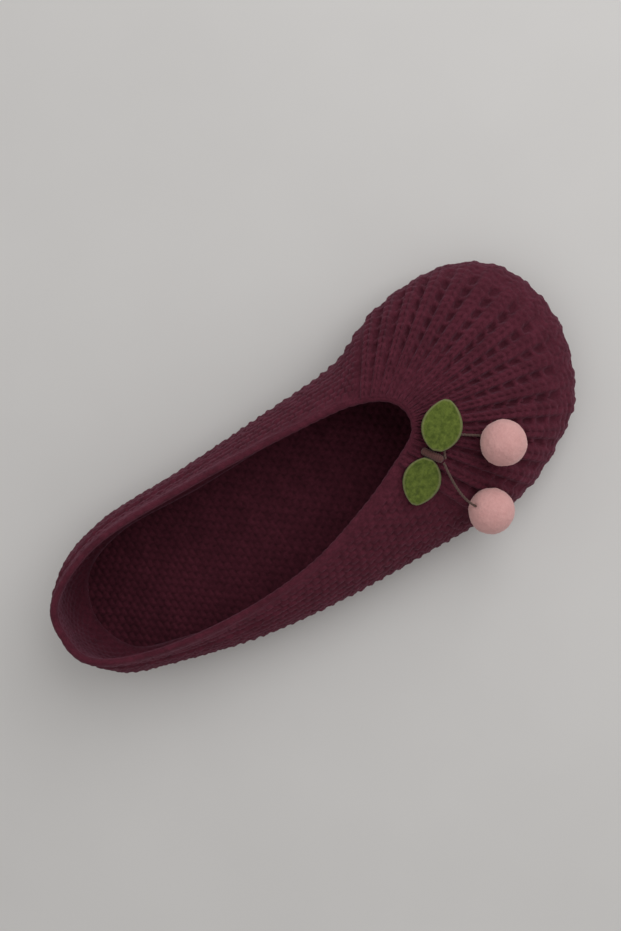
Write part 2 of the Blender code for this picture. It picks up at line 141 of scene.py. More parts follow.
def quads_of(rows: int, columns: int, round_rows: bool, round_columns: bool) -> np.ndarray:
    """Corner numbers of the quads between the points of a grid.

    Args:
        rows: Rows of points.
        columns: Points in a row.
        round_rows: Whether the last row joins the first.
        round_columns: Whether the last column joins the first.

    Returns:
        Rows of 4 corner numbers: this point, the next in its row, the one above that, the one above.
    """
    i = np.arange(rows if round_rows else rows - 1)[:, None]
    j = np.arange(columns if round_columns else columns - 1)[None, :]
    above, after = (i + 1) % rows, (j + 1) % columns
    corners = [i * columns + j, i * columns + after, above * columns + after, above * columns + j]
    return np.stack(np.broadcast_arrays(*corners), axis=-1).reshape(-1, 4)


def read_all(items: bpy.types.bpy_prop_collection, name: str, width: int, kind: type) -> np.ndarray:
    """One property of every item of a mesh's collection.

    Args:
        items: The collection.
        name: The property.
        width: How many numbers it holds.
        kind: The numbers' type.

    Returns:
        One row of numbers for each item.
    """
    found = np.empty(len(items) * width, kind)
    items.foreach_get(name, found)
    return found.reshape(-1, width)


def add_piece(
    name: str,
    grid: np.ndarray,
    finish: bpy.types.Material,
    round_rows: bool = False,
    round_columns: bool = False,
    capped: bool = False,
    flip: bool = False,
    plan: np.ndarray | None = None,
    values: dict[str, np.ndarray] | None = None,
) -> bpy.types.Object:
    """Puts a grid of points into the scene as one smooth mesh.

    Args:
        name: The piece's name.
        grid: Points, rows by columns by 3.
        finish: The material.
        round_rows: Whether the last row joins the first.
        round_columns: Whether the last column joins the first.
        capped: Whether the two open ends are closed with one face each.
        flip: Whether the faces turn over.
        plan: A flat place for each point, kept as the UV map "knit".
        values: Arrays of one number per point, each kept as an attribute.

    Returns:
        The new object, at the origin.
    """
    rows, columns = grid.shape[:2]
    quads = quads_of(rows, columns, round_rows, round_columns)
    corners = np.arange(rows * columns).reshape(rows, columns)
    ends = []
    if capped and round_rows:
        ends = [corners[:, 0], corners[::-1, -1]]
    elif capped:
        ends = [corners[0, ::-1], corners[-1]]
    if flip:
        quads, ends = quads[:, ::-1], [end[::-1] for end in ends]
    mesh = bpy.data.meshes.new(name)
    mesh.from_pydata(grid.reshape(-1, 3).tolist(), [], quads.tolist() + [end.tolist() for end in ends])
    mesh.update()
    mesh.shade_smooth()
    if plan is not None:
        loops = read_all(mesh.loops, "vertex_index", 1, np.int32)[:, 0]
        layer = mesh.uv_layers.new(name="knit")
        layer.data.foreach_set("uv", plan.reshape(-1, 2)[loops].astype(np.float32).ravel())
    for label, numbers in (values or {}).items():
        attribute = mesh.attributes.new(label, "FLOAT", "POINT")
        attribute.data.foreach_set("value", np.ascontiguousarray(numbers, np.float32).ravel())
    made = bpy.data.objects.new(name, mesh)
    mesh.materials.append(finish)
    bpy.context.scene.collection.objects.link(made)
    return made


def place_on_slipper(piece: bpy.types.Object, slot: str, *nodes: str) -> bpy.types.Object:
    """Rides a piece on the slipper and hides the solids that it stands for.

    Args:
        piece: The piece.
        slot: The name of its material slot; not used.
        nodes: The solids, none for a piece that is added.

    Returns:
        The piece.
    """
    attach(piece, "root")
    if nodes:
        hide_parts(*nodes)
    LOG.info("%s: %d faces", piece.name, len(piece.data.polygons))
    return piece


def tube(
    path: np.ndarray, first: np.ndarray, second: np.ndarray, radius: np.ndarray, angles: np.ndarray
) -> np.ndarray:
    """A profile carried along a path: path + radius * (cos * first + sin * second).

    Args:
        path: Points of the middle line.
        first: Unit directions across the path, one per point.
        second: Unit directions across the path and across first.
        radius: Radius for each angle and point, or one number.
        angles: Angles round the profile.

    Returns:
        The grid, angles by points by 3.
    """
    cos, sin = np.cos(angles)[:, None, None], np.sin(angles)[:, None, None]
    round_way = cos * first[None] + sin * second[None]
    return path[None] + np.broadcast_to(radius, (len(angles), len(path)))[..., None] * round_way


def path_sides(path: np.ndarray, closed: bool = False) -> tuple[np.ndarray, np.ndarray]:
    """Two unit directions across a path at each point: one level, one square to it and to the path.

    Args:
        path: Points of the path.
        closed: Whether the path runs back to its start.

    Returns:
        Both directions at each point.
    """
    if closed:
        along = unit(np.roll(path, -1, axis=0) - np.roll(path, 1, axis=0))
    else:
        along = unit(np.gradient(path, axis=0))
    level = unit(np.cross(along, [0.0, 0.0, 1.0]))
    return level, unit(np.cross(level, along))


def around(count: int) -> np.ndarray:
    """Angles at equal steps once round."""
    return np.linspace(0, 2 * np.pi, count, endpoint=False)


def twisted(turns: np.ndarray, angles: np.ndarray) -> tuple[np.ndarray, np.ndarray]:
    """A spiral's turns at each angle and point, and the swell |sin(pi * turns)| of its strands."""
    turned = turns[None] + angles[:, None] / (2 * np.pi)
    return turned, np.abs(np.sin(np.pi * turned))


# ---------------------------------------------------------------- finishes

class Wiring:
    """Adds nodes to a material and joins them."""

    def __init__(self, name: str) -> None:
        """Starts a material with its Principled shader.

        Args:
            name: The material's name.
        """
        self.material = bpy.data.materials.new(name)
        self.material.use_nodes = True
        self.tree = self.material.node_tree
        self.shader = self.tree.nodes["Principled BSDF"]

    def node(
        self, kind: str, inputs: dict[str | int, object] | None = None, **settings: object
    ) -> bpy.types.Node:
        """Adds a node.

        Args:
            kind: The node's type.
            inputs: A value, or an output socket to join, for each input by name or number.
            settings: The node's own settings.

        Returns:
            The node.
        """
        made = self.tree.nodes.new(kind)
        for label, value in settings.items():
            setattr(made, label, value)
        for label, value in (inputs or {}).items():
            self.give(made.inputs[label], value)
        return made

    def give(self, socket: bpy.types.NodeSocket, value: object) -> None:
        """Joins an output to the socket, or sets its value.

        Args:
            socket: The input socket.
            value: An output socket to join, or a value.
        """
        if isinstance(value, bpy.types.NodeSocket):
            self.tree.links.new(value, socket)
        else:
            socket.default_value = value

    def noise(
        self, where: bpy.types.NodeSocket, scale: float, detail: float = 2.0, roughness: float = 0.5
    ) -> bpy.types.NodeSocket:
        """A noise pattern's value at a place."""
        inputs = {"Vector": where, "Scale": scale, "Detail": detail, "Roughness": roughness}
        return self.node("ShaderNodeTexNoise", inputs).outputs["Fac"]

    def blend(
        self, share: object, first: object, second: object, mode: str = "MIX"
    ) -> bpy.types.NodeSocket:
        """Mixes two colours by a share.

        Args:
            share: How much of the second, from 0 to 1.
            first: A colour.
            second: The other colour.
            mode: How they mix.

        Returns:
            The mixed colour.
        """
        made = self.node("ShaderNodeMix", data_type="RGBA", blend_type=mode)
        for number, value in ((0, share), (6, first), (7, second)):
            self.give(made.inputs[number], value)
        return made.outputs[2]

    def ramp(
        self,
        value: bpy.types.NodeSocket,
        low: float,
        high: float,
        out_low: float = 0.0,
        out_high: float = 1.0,
    ) -> bpy.types.NodeSocket:
        """Stretches a value from one range to another."""
        inputs = {0: value, 1: low, 2: high, 3: out_low, 4: out_high}
        return self.node("ShaderNodeMapRange", inputs).outputs[0]

    def bump(
        self,
        height: bpy.types.NodeSocket,
        distance: float,
        strength: float,
        below: bpy.types.NodeSocket | None = None,
    ) -> bpy.types.NodeSocket:
        """A bump normal from a height, over another bump if one is given.

        Args:
            height: The height.
            distance: How far a height of 1 stands out.
            strength: How strongly it shows.
            below: The normal of a bump below it.

        Returns:
            The normal.
        """
        inputs = {"Height": height, "Distance": distance, "Strength": strength}
        if below is not None:
            inputs["Normal"] = below
        return self.node("ShaderNodeBump", inputs).outputs["Normal"]

    def stretched(
        self, chart: bpy.types.NodeSocket, scale: tuple[float, float, float]
    ) -> bpy.types.NodeSocket:
        """Noise drawn out along one way of a chart."""
        place = self.node("ShaderNodeMapping", {"Vector": chart, "Scale": scale}).outputs["Vector"]
        return self.noise(place, 1.0, 3.0, 0.6)

    def cover(
        self,
        colour: bpy.types.NodeSocket,
        roughness: float,
        specular: float,
        bloom: float = 0.0,
        normal: bpy.types.NodeSocket | None = None,
    ) -> bpy.types.Material:
        """Gives the shader its colour, dullness, bloom and relief.

        Args:
            colour: The colour.
            roughness: How dull it is.
            specular: How much it shines.
            bloom: How pale it gets at a slant.
            normal: The relief, if it has any.

        Returns:
            The finished material.
        """
        self.give(self.shader.inputs["Base Color"], colour)
        self.give(self.shader.inputs["Roughness"], roughness)
        self.give(self.shader.inputs["Specular IOR Level"], specular)
        self.give(self.shader.inputs["Sheen Weight"], bloom)
        if normal is not None:
            self.give(self.shader.inputs["Normal"], normal)
        return self.material


def shade(red: float, green: float, blue: float) -> tuple[float, float, float, float]:
    """A colour with full cover."""
    return (red, green, blue, 1.0)


@dataclass(frozen=True)
class YarnFinish:
    """Soft brushed yarn: mottled, streaked by its fibres, with painted shade between the stitches."""

    name: str
    light: tuple[float, float, float]
    dark: tuple[float, float, float]
    bloom: tuple[float, float, float]
    painted_shade_strength: float = 0.30
    bloom_weight: float = 0.16
    strand: float = 0.45 * MM

    def make(self) -> bpy.types.Material:
        """Wires the yarn, which reads Object coordinates, the UV map "knit" and the attribute of its painted
        shade.

        Returns:
            The material.
        """
        wiring = Wiring(self.name)
        where = wiring.node("ShaderNodeTexCoord").outputs["Object"]
        painted_shade = wiring.node("ShaderNodeAttribute", attribute_name="painted_shade").outputs["Fac"]
        mottle = wiring.ramp(wiring.noise(where, 160, 3.0, 0.6), 0.32, 0.68)
        chart = wiring.node("ShaderNodeUVMap", uv_map="knit").outputs["UV"]
        ways = {0: wiring.stretched(chart, (0.75, 3.4, 1.0)), 1: wiring.stretched(chart, (3.4, 0.75, 1.0))}
        streaks = wiring.node("ShaderNodeMath", ways, operation="MAXIMUM").outputs[0]
        fibre = wiring.ramp(streaks, 0.40, 0.72)
        yarn = wiring.blend(mottle, shade(*self.dark), shade(*self.light))
        strands = wiring.blend(fibre, shade(0.72, 0.70, 0.72), shade(1.22, 1.20, 1.20))
        yarn = wiring.blend(0.8, yarn, strands, "MULTIPLY")
        tufts = wiring.ramp(wiring.noise(where, 0.42 / self.strand, 2.0, 0.6), 0.34, 0.66)
        tufts = wiring.blend(tufts, shade(0.87, 0.86, 0.87), shade(1.12, 1.13, 1.13))
        yarn = wiring.blend(1.0, yarn, tufts, "MULTIPLY")
        # painted shade: the yarn darkens towards a much darker copy of its dark tone where the stitches lie
        # low
        red, green, blue = self.dark
        painted_shade_colour = shade(red * 0.22, green * 0.20, blue * 0.22)
        yarn = wiring.blend(wiring.ramp(painted_shade, 0.0, 1.0, 0.0, self.painted_shade_strength), yarn, painted_shade_colour)
        wiring.shader.inputs["Sheen Roughness"].default_value = 0.45
        wiring.shader.inputs["Sheen Tint"].default_value = shade(*self.bloom)
        plies = wiring.bump(streaks, 0.32 * MM, 0.55)
        fuzz = wiring.bump(wiring.noise(where, 2.2 / self.strand, 3.0, 0.7), 0.14 * MM, 0.6, plies)
        return wiring.cover(yarn, 0.95, 0.18, self.bloom_weight, fuzz)


@dataclass(frozen=True)
class FeltFinish:
    """Wool felt: a short nap with paler and deeper flecks, and a painted highlight, paler again where
    "raised" is high.
    """

    name: str
    light: tuple[float, float, float]
    dark: tuple[float, float, float]
    edge: tuple[float, float, float]
    fleck: float = 1.0 * MM
    bloom_weight: float = 0.15

    def make(self) -> bpy.types.Material:
        """Wires the felt, which reads Object coordinates and the attribute "raised".

        Returns:
            The material.
        """
        wiring = Wiring(self.name)
        where = wiring.node("ShaderNodeTexCoord").outputs["Object"]
        raised = wiring.node("ShaderNodeAttribute", attribute_name="raised").outputs["Fac"]
        flecks = wiring.ramp(wiring.noise(where, 0.5 / self.fleck, 4.0, 0.7), 0.36, 0.64)
        felt = wiring.blend(flecks, shade(*self.dark), shade(*self.light))
        nap = wiring.ramp(wiring.noise(where, 4.5 / self.fleck, 3.0, 0.7), 0.3, 0.7)
        nap = wiring.blend(nap, shade(0.84, 0.84, 0.84), shade(1.12, 1.12, 1.12))
        felt = wiring.blend(0.7, felt, nap, "MULTIPLY")
        # painted highlight: towards the pale edge colour where the surface stands up
        felt = wiring.blend(raised, felt, shade(*self.edge))
        wiring.shader.inputs["Sheen Roughness"].default_value = 0.5
        soft = wiring.bump(wiring.noise(where, 1.4 / self.fleck, 3.0), 0.3 * MM, 0.5)
        hairs = wiring.bump(wiring.noise(where, 6.0 / self.fleck, 3.0, 0.7), 0.1 * MM, 0.6, soft)
        return wiring.cover(felt, 0.96, 0.15, self.bloom_weight, hairs)


@dataclass(frozen=True)
class CordFinish:
    """Thin twisted cord: two tones of fibre, with painted shade between the plies."""

    name: str
    light: tuple[float, float, float]
    dark: tuple[float, float, float]

    def make(self) -> bpy.types.Material:
        """Wires the cord, which reads Object coordinates and the attribute of its painted shade.

        Returns:
            The material.
        """
        wiring = Wiring(self.name)
        where = wiring.node("ShaderNodeTexCoord").outputs["Object"]
        painted_shade = wiring.node("ShaderNodeAttribute", attribute_name="painted_shade").outputs["Fac"]
        fibre = wiring.ramp(wiring.noise(where, 2600, 3.0, 0.6), 0.3, 0.7)
        cord = wiring.blend(fibre, shade(*self.dark), shade(*self.light))
        # painted shade: towards a darker copy of the dark tone between the plies
        cord = wiring.blend(painted_shade, cord, shade(*(0.4 * tone for tone in self.dark)))
        return wiring.cover(cord, 0.72, 0.3, 0.2, wiring.bump(wiring.noise(where, 3800, 3.0), 0.06 * MM, 0.5))


@dataclass(frozen=True)
class TableFinish:
    """Matt pale board with the faintest clouding."""

    name: str = "pale_board"
    light: tuple[float, float, float] = (0.665, 0.655, 0.645)
    dark: tuple[float, float, float] = (0.640, 0.630, 0.620)

    def make(self) -> bpy.types.Material:
        """Wires the board, which reads Object coordinates.

        Returns:
            The material.
        """
        wiring = Wiring(self.name)
        where = wiring.node("ShaderNodeTexCoord").outputs["Object"]
        cloud = wiring.ramp(wiring.noise(where, 9.0, 3.0, 0.6), 0.3, 0.7)
        return wiring.cover(wiring.blend(cloud, shade(*self.dark), shade(*self.light)), 0.9, 0.2)


# ---------------------------------------------------------------- the slipper's form

@dataclass(frozen=True)
class SlipperForm:
    """The upper's smooth outer form, from the sizes that the solids were made with.

    Each row of sections gives, in order: along, heel, ball, collar_along, collar_across, belly,
    shoulder, crown, slope and tuck, as shares of the sizes below.
    """

    length: float = 240 * MM
    ball_width: float = 97 * MM
    heel_width: float = 67 * MM
    heel_height: float = 49 * MM
    side_height: float = 40 * MM
    instep_height: float = 45 * MM
    heel_seat: float = 36 * MM
    collar_back: float = 4 * MM
    collar_width: float = 62 * MM
    throat_setback: float = 68 * MM
    tuck: float = 5 * MM
    sole: float = 3.6 * MM
    gap: float = 0.3 * MM
    ribs: int = 17
    fan_from: int = 6
    fan_to: int = 14
    sections: tuple[tuple[float, ...], ...] = (
        (0.000, 0.00, 0.000, 0.000, 0.00, 0.48, 0.50, 0.10, 0.35, 0.90),
        (0.040, -0.70, 0.000, 0.035, -0.50, 0.48, 0.50, 0.15, 0.35, 0.90),
        (0.150, -1.02, 0.000, 0.192, -0.86, 0.46, 0.55, 0.20, 0.30, 1.00),
        (0.305, -0.50, -0.560, 0.405, -1.02, 0.42, 0.58, 0.25, 0.25, 1.25),
        (0.470, 0.00, -1.000, 0.610, -0.96, 0.40, 0.60, 0.30, 0.20, 1.35),
        (0.625, 0.00, -1.035, 0.795, -0.68, 0.38, 0.55, 0.34, 0.18, 1.15),
        (0.712, 0.00, -1.050, 0.905, -0.43, 0.36, 0.48, 0.40, 0.16, 1.00),
        (0.800, 0.00, -1.035, 0.957, -0.30, 0.34, 0.46, 0.42, 0.20, 0.95),
        (0.890, 0.00, -0.840, 0.983, -0.20, 0.32, 0.44, 0.43, 0.24, 0.90),
        (0.960, 0.00, -0.560, 0.996, -0.08, 0.32, 0.42, 0.43, 0.26, 0.90),
        (1.000, 0.00, 0.020, 1.000, 0.07, 0.32, 0.42, 0.43, 0.26, 0.90),
        (0.974, 0.00, 0.590, 0.993, 0.22, 0.33, 0.43, 0.43, 0.25, 0.90),
        (0.905, 0.00, 0.890, 0.978, 0.34, 0.35, 0.45, 0.43, 0.22, 0.90),
        (0.815, 0.00, 0.965, 0.952, 0.45, 0.37, 0.48, 0.42, 0.20, 0.95),
        (0.725, 0.00, 0.900, 0.912, 0.55, 0.38, 0.52, 0.40, 0.18, 1.10),
        (0.640, 0.00, 0.735, 0.845, 0.65, 0.40, 0.56, 0.36, 0.20, 1.45),
        (0.490, 0.00, 0.705, 0.665, 0.77, 0.42, 0.58, 0.30, 0.25, 1.90),
        (0.320, 0.50, 0.345, 0.445, 0.87, 0.44, 0.58, 0.25, 0.28, 1.60),
        (0.150, 1.00, 0.000, 0.198, 0.88, 0.46, 0.55, 0.20, 0.30, 1.00),
        (0.040, 0.70, 0.000, 0.035, 0.52, 0.48, 0.50, 0.15, 0.35, 0.90),
    )
    # along the length, share of the lift at the outer and the inner edge, and the lift
    lifts: tuple[tuple[float, float, float, float], ...] = (
        (0.000, 1.00, 1.00, 1.2 * MM),
        (0.070, 0.00, 0.00, 1.2 * MM),
        (0.290, 0.00, 0.00, 3.0 * MM),
        (0.450, 0.25, 1.00, 3.0 * MM),
        (0.630, 0.00, 0.00, 3.0 * MM),
        (0.830, 0.00, 0.00, 4.5 * MM),
        (1.000, 1.00, 1.00, 4.5 * MM),
    )
    arc_steps: int = 40
    crown_steps: int = 160

    def sizes(self, at: np.ndarray) -> dict[str, np.ndarray]:
        """The sections' sizes at row numbers, read off a closed cubic curve that runs through the rows.

        Args:
            at: Row numbers, fractions among them.

        Returns:
            One array per size.
        """
        rows = np.array(self.sections)
        opening = self.length - self.throat_setback - self.collar_back
        table = {
            "x": rows[:, 0] * self.length,
            "y": rows[:, 1] * self.heel_width / 2 + rows[:, 2] * self.ball_width / 2,
            "collar_x": self.collar_back + rows[:, 3] * opening,
            "collar_y": rows[:, 4] * self.collar_width / 2,
            "belly": rows[:, 5] * self.side_height,
            "shoulder": rows[:, 6],
            "crown": rows[:, 7],
            "slope": rows[:, 8],
            "tuck": rows[:, 9] * self.tuck,
        }
        index = np.floor(at).astype(int)
        t = at - index
        found = {}
        for name, values in table.items():
            a, b, c, d = (values[(index + k) % len(values)] for k in (-1, 0, 1, 2))
            bend = 2 * a - 5 * b + 4 * c - d + t * (3 * (b - c) + d - a)
            found[name] = b + 0.5 * t * (c - a + t * bend)
        return found

    def collar_height(self, x: np.ndarray) -> np.ndarray:
        """Height of the collar: the side's height, eased up to the heel and up to the throat.

        Args:
            x: Distances from the back of the heel.

        Returns:
            The heights.
        """
        front = self.length - self.throat_setback
        middle = (self.collar_back + front) / 2
        to_heel = smooth_step(0, 1, (middle - x) / (middle - self.collar_back))
        to_throat = smooth_step(0, 1, (x - middle) / (front - middle))
        at_heel = to_heel * (self.heel_height - self.side_height)
        return self.side_height + at_heel + to_throat * (self.instep_height - self.side_height)

    def sole_lift(self, x: np.ndarray, y: np.ndarray) -> np.ndarray:
        """Height of the sole's underside: eased between the lift rows, straight across the width.

        Args:
            x: Distances from the back of the heel.
            y: Distances from the middle line.

        Returns:
            The heights.
        """
        rows = np.array(self.lifts)
        stations, heights = rows[:, 0] * self.length, rows[:, 1:3] * rows[:, 3:]
        place = np.clip(np.searchsorted(stations, x, side="right") - 1, 0, len(rows) - 2)
        t = smooth_step(0, 1, (x - stations[place]) / (stations[place + 1] - stations[place]))
        edges = heights[place] + t[..., None] * (heights[place + 1] - heights[place])
        across = np.clip(y / self.ball_width + 0.5, 0, 1)
        return edges[..., 0] + across * (edges[..., 1] - edges[..., 0])

    def inward(self, at: np.ndarray) -> np.ndarray:
        """Unit directions in plan into the slipper: the outline's direction turned a quarter left.

        Args:
            at: Row numbers.

        Returns:
            One direction for each.
        """
        ahead, behind = self.sizes(at + 0.04), self.sizes(at - 0.04)
        along = unit(np.stack([ahead["x"] - behind["x"], ahead["y"] - behind["y"]], axis=-1))
        return np.stack([-along[:, 1], along[:, 0]], axis=-1)

    def foot_line(self, at: np.ndarray, outset: float = 0.0) -> np.ndarray:
        """The upper's lower edge over the sole, in the row frame.

        Args:
            at: Row numbers.
            outset: How far the line moves out.

        Returns:
            The points.
        """
        size = self.sizes(at)
        plan = np.stack([size["x"], size["y"]], axis=-1) + (size["tuck"] - outset)[:, None] * self.inward(at)
        rise = self.sole_lift(plan[:, 0], plan[:, 1]) + self.sole + self.gap
        return np.column_stack([plan[:, 0] - self.heel_seat, plan[:, 1], rise])

    def wall_lines(self, at: np.ndarray) -> np.ndarray:
        """Fine lines up the wall: an elliptical arc out of the sole, then a cubic curve to the collar.

        Args:
            at: Row numbers of the lines.

        Returns:
            Points, steps up the wall by lines by 3, in the row frame.
        """
        size = self.sizes(at)
        outline = np.stack([size["x"], size["y"]], axis=-1)
        base = outline + size["tuck"][:, None] * self.inward(at)
        foot = self.sole_lift(base[:, 0], base[:, 1]) + self.sole + self.gap
        angle = np.radians(np.linspace(30, 90, self.arc_steps, endpoint=False))[:, None]
        out = (np.sin(angle) - 0.5) / 0.5
        up = 1 - np.cos(angle) / math.cos(math.radians(30))
        low = np.concatenate([
            base[None] + (outline - base)[None] * out[..., None],
            (foot + (size["belly"] - foot) * up)[..., None],
        ], axis=-1)
        collar = np.stack([size["collar_x"], size["collar_y"]], axis=-1)
        top = self.collar_height(size["collar_x"])
        rise = top - size["belly"]
        hold = collar + (outline - collar) * size["crown"][:, None]
        cage = np.stack([
            np.column_stack([outline, size["belly"]]),
            np.column_stack([outline, size["belly"] + rise * size["shoulder"]]),
            np.column_stack([hold, top - rise * size["slope"]]),
            np.column_stack([collar, top]),
        ])
        t = np.linspace(0, 1, self.crown_steps)
        weights = np.stack([(1 - t) ** 3, 3 * t * (1 - t) ** 2, 3 * t * t * (1 - t), t ** 3], axis=1)
        lines = np.concatenate([low, np.tensordot(weights, cage, axes=1)])
        lines[..., 0] -= self.heel_seat
        return lines

    def wall(self, at: np.ndarray, shares: np.ndarray) -> tuple[np.ndarray, np.ndarray, np.ndarray]:
        """The smooth wall on a grid, by share of the length walked from the sole to the collar.

        Args:
            at: Row numbers of the columns.
            shares: Shares of the walk up, from 0 to 1.

        Returns:
            Points, outward unit normals, and each column's whole walk.
        """
        step = 1e-3
        lines = self.wall_lines(np.concatenate([at, [at[0] - step, at[-1] + step]]))
        steps = np.linalg.norm(np.diff(lines, axis=0), axis=2)
        walk = np.concatenate([np.zeros((1, lines.shape[1])), np.cumsum(steps, axis=0)])
        goal = shares[:, None] * walk[-1][None]
        found = [np.searchsorted(walk[:, k], goal[:, k], side="right") for k in range(walk.shape[1])]
        index = np.clip(np.stack(found, axis=1) - 1, 0, len(walk) - 2)
        column = np.arange(lines.shape[1])[None]
        part = (goal - walk[index, column]) / (walk[index + 1, column] - walk[index, column])
        grid = lines[index, column] + part[..., None] * (lines[index + 1, column] - lines[index, column])
        before, after = grid[:, -2:-1], grid[:, -1:]
        grid, total = grid[:, :-2], walk[-1, :-2]
        round_way = np.gradient(grid, axis=1)
        round_way[:, :1] = grid[:, :1] - before
        round_way[:, -1:] = after - grid[:, -1:]
        normals = unit(np.cross(unit(round_way), np.gradient(grid, axis=0)))
        return grid, normals, total

    def once_round(self) -> np.ndarray:
        """Row numbers at 1600 equal steps once round the slipper."""
        return np.linspace(0, len(self.sections), 1600, endpoint=False)

    def fan_rows(self, columns_to_rib: int) -> tuple[np.ndarray, np.ndarray]:
        """Places the cap's columns at equal steps of the outline.

        Args:
            columns_to_rib: How many columns a rib gets.

        Returns:
            The row numbers and the rib numbers.
        """
        fine = np.linspace(self.fan_from, self.fan_to, 4000)
        size = self.sizes(fine)
        distance = walked(np.column_stack([size["x"], size["y"]]))
        ribs = np.linspace(0, self.ribs, self.ribs * columns_to_rib + 1)
        return np.interp(ribs / self.ribs * distance[-1], distance, fine), ribs

    def side_rows(self, first: float, last: float, step: float) -> tuple[np.ndarray, np.ndarray]:
        """Places a side's columns at equal steps along the wall's middle.

        Args:
            first: Row number of the start.
            last: Row number of the end.
            step: Length of a step, about.

        Returns:
            The row numbers and the distance walked at each.
        """
        fine = np.linspace(first, last, 2000)
        size = self.sizes(fine)
        middle = np.column_stack([size["x"] + size["collar_x"], size["y"] + size["collar_y"]]) / 2
        distance = walked(middle)
        at = np.linspace(0, distance[-1], int(round(distance[-1] / step)) + 1)
        return np.interp(at, distance, fine), at


# ---------------------------------------------------------------- the knitted upper

class Shoulder(Enum):
    """The two knitted sides, by the foot's own sides."""

    OUTER = "side_outer"
    INNER = "side_inner"


@dataclass(frozen=True)
class FanKnit:
    """Relief of the toe cap: braided ribs with open eyelets in the troughs between them, in mm."""

    stitch: float = 3.1
    eyelet: float = 6.2
    ridge_share: float = 0.30
    ridge_least: float = 1.0
    ridge_most: float = 2.9
    ridge_flat: float = 0.80
    ridge_slope: float = 0.62
    ridge_height: float = 0.42
    braid_height: float = 0.85
    leg_run: float = 1.5
    leg_from: float = 0.92
    leg_closes: float = 0.68
    leg_thickness: float = 0.50
    trough: float = -0.50
    bar_height: float = 0.62
    bar_width: float = 0.17
    eyelet_depth: float = 1.12
    eyelet_long: float = 0.36
    eyelet_share: float = 0.215
    eyelet_least: float = 0.6
    eyelet_most: float = 2.1
    eyelet_edge: float = 0.72
    opens_from: float = 12.0
    opens_to: float = 36.0
    closes_from: float = 0.33
    closes_to: float = 0.22
    gather_from: float = 2.0
    gather_to: float = 6.0
    gather_depth: float = 0.45
    gather_shuts: float = 0.75
    shut: float = 0.22
    narrow: float = 0.35
    narrow_below: float = 2.8
    wide_above: float = 6.0
    knot_height: float = 0.30
    smallest: float = 0.80
    variety: float = 0.36

    def relief(
        self, ribs: np.ndarray, depth: np.ndarray, width: np.ndarray, share: np.ndarray, count: int
    ) -> tuple[np.ndarray, np.ndarray]:
        """Height over the smooth form, and how much painted shade each point gets between the stitches.

        A ridge is a flat-topped rise across the rib.  On it lie V-shaped stitches: two legs that
        start at the ridge's edges and close towards its middle, each a half-round bead.  In the
        trough, round bars part dark eyelets.

        Args:
            ribs: Rib number of each column; whole numbers are troughs.
            depth: Distance below the collar's edge, in mm.
            width: A rib's width there, in mm.
            share: Share of the walk from sole to collar.
            count: How many ribs the fan has.

        Returns:
            Height in mm, and a painted shade value from 0 to 1.
        """
        number = np.floor(np.clip(ribs, 0, count - 1e-6))
        across = ribs - number - 0.5
        wobble = chance(number, np.int64(7))
        reach = np.abs(across) * width
        half = np.clip(self.ridge_share * width, self.ridge_least, self.ridge_most)
        flat = half * self.ridge_flat
        ridge = 1 - smooth_step(0.0, 1.0, (reach - flat) / (width / 2 - flat) / self.ridge_slope)
        course = depth / self.stitch + 0.25 * (wobble - 0.5)
        braid = np.zeros_like(depth)
        for back in (0, 1):
            stitch = np.floor(course) - back
            t = course - stitch
            line = self.leg_from - self.leg_closes * t / self.leg_run
            size = self.smallest + self.variety * chance(stitch + 0 * ribs, number + 0 * depth)
            grown = np.sin(np.pi * np.clip(t / self.leg_run, 0, 1)) ** 0.9
            leg = round_bead((reach / half - line) / self.leg_thickness) * grown
            braid = np.maximum(braid, leg * size)
        cycle = depth / self.eyelet + 0.12 * np.sin(number * 1.7)
        cycle = cycle + 0.10 * (chance(number, np.int64(3)) - 0.5)
        phase = cycle - np.floor(cycle)
        bar = round_bead((np.minimum(phase, 1 - phase)) / self.bar_width)
        gap = (0.5 - np.abs(across)) * width
        room = np.clip(self.eyelet_share * width, self.eyelet_least, self.eyelet_most)
        inside = 1 - ((phase - 0.5) / self.eyelet_long) ** 2 - (gap / room) ** 2
        eyelet = np.clip(inside, 0, 1) ** self.eyelet_edge
        opened = self.shut + (1 - self.shut) * smooth_step(self.opens_from, self.opens_to, depth)
        opened = opened * smooth_step(self.closes_to, self.closes_from, share)
        gathered = 1 - smooth_step(self.gather_from, self.gather_to, ribs)
        opened = opened * (1 - self.gather_shuts * gathered)
        opened = opened * (0.35 + 0.65 * smooth_step(0.5, 4.5, count - ribs))
        ends = smooth_step(0.25, 0.60, np.minimum(ribs, count - ribs))
        wide = self.narrow + (1 - self.narrow) * smooth_step(self.narrow_below, self.wide_above, width)
        floor = self.trough - self.gather_depth * gathered * ends
        low = wide * (floor + ends * (self.bar_height * bar - self.eyelet_depth * opened * eyelet))
        knot = self.knot_height * (1 - wide) * np.cos(2 * np.pi * (course + 0.5 * (number % 2)))
        high = wide * self.ridge_height + (0.5 + 0.5 * wide) * self.braid_height * braid
        height = ridge * high + (1 - ridge) * low + knot
        # painted shade: strongest in the open eyelets, less in the troughs and on the bars, and a little on
        # the ridges between the braids
        painted_shade = (1 - ridge) * (0.15 + 0.85 * opened * eyelet * ends) * (1 - 0.7 * bar)
        return height, np.clip(painted_shade + 0.25 * ridge * (1 - braid) ** 2, 0, 1)


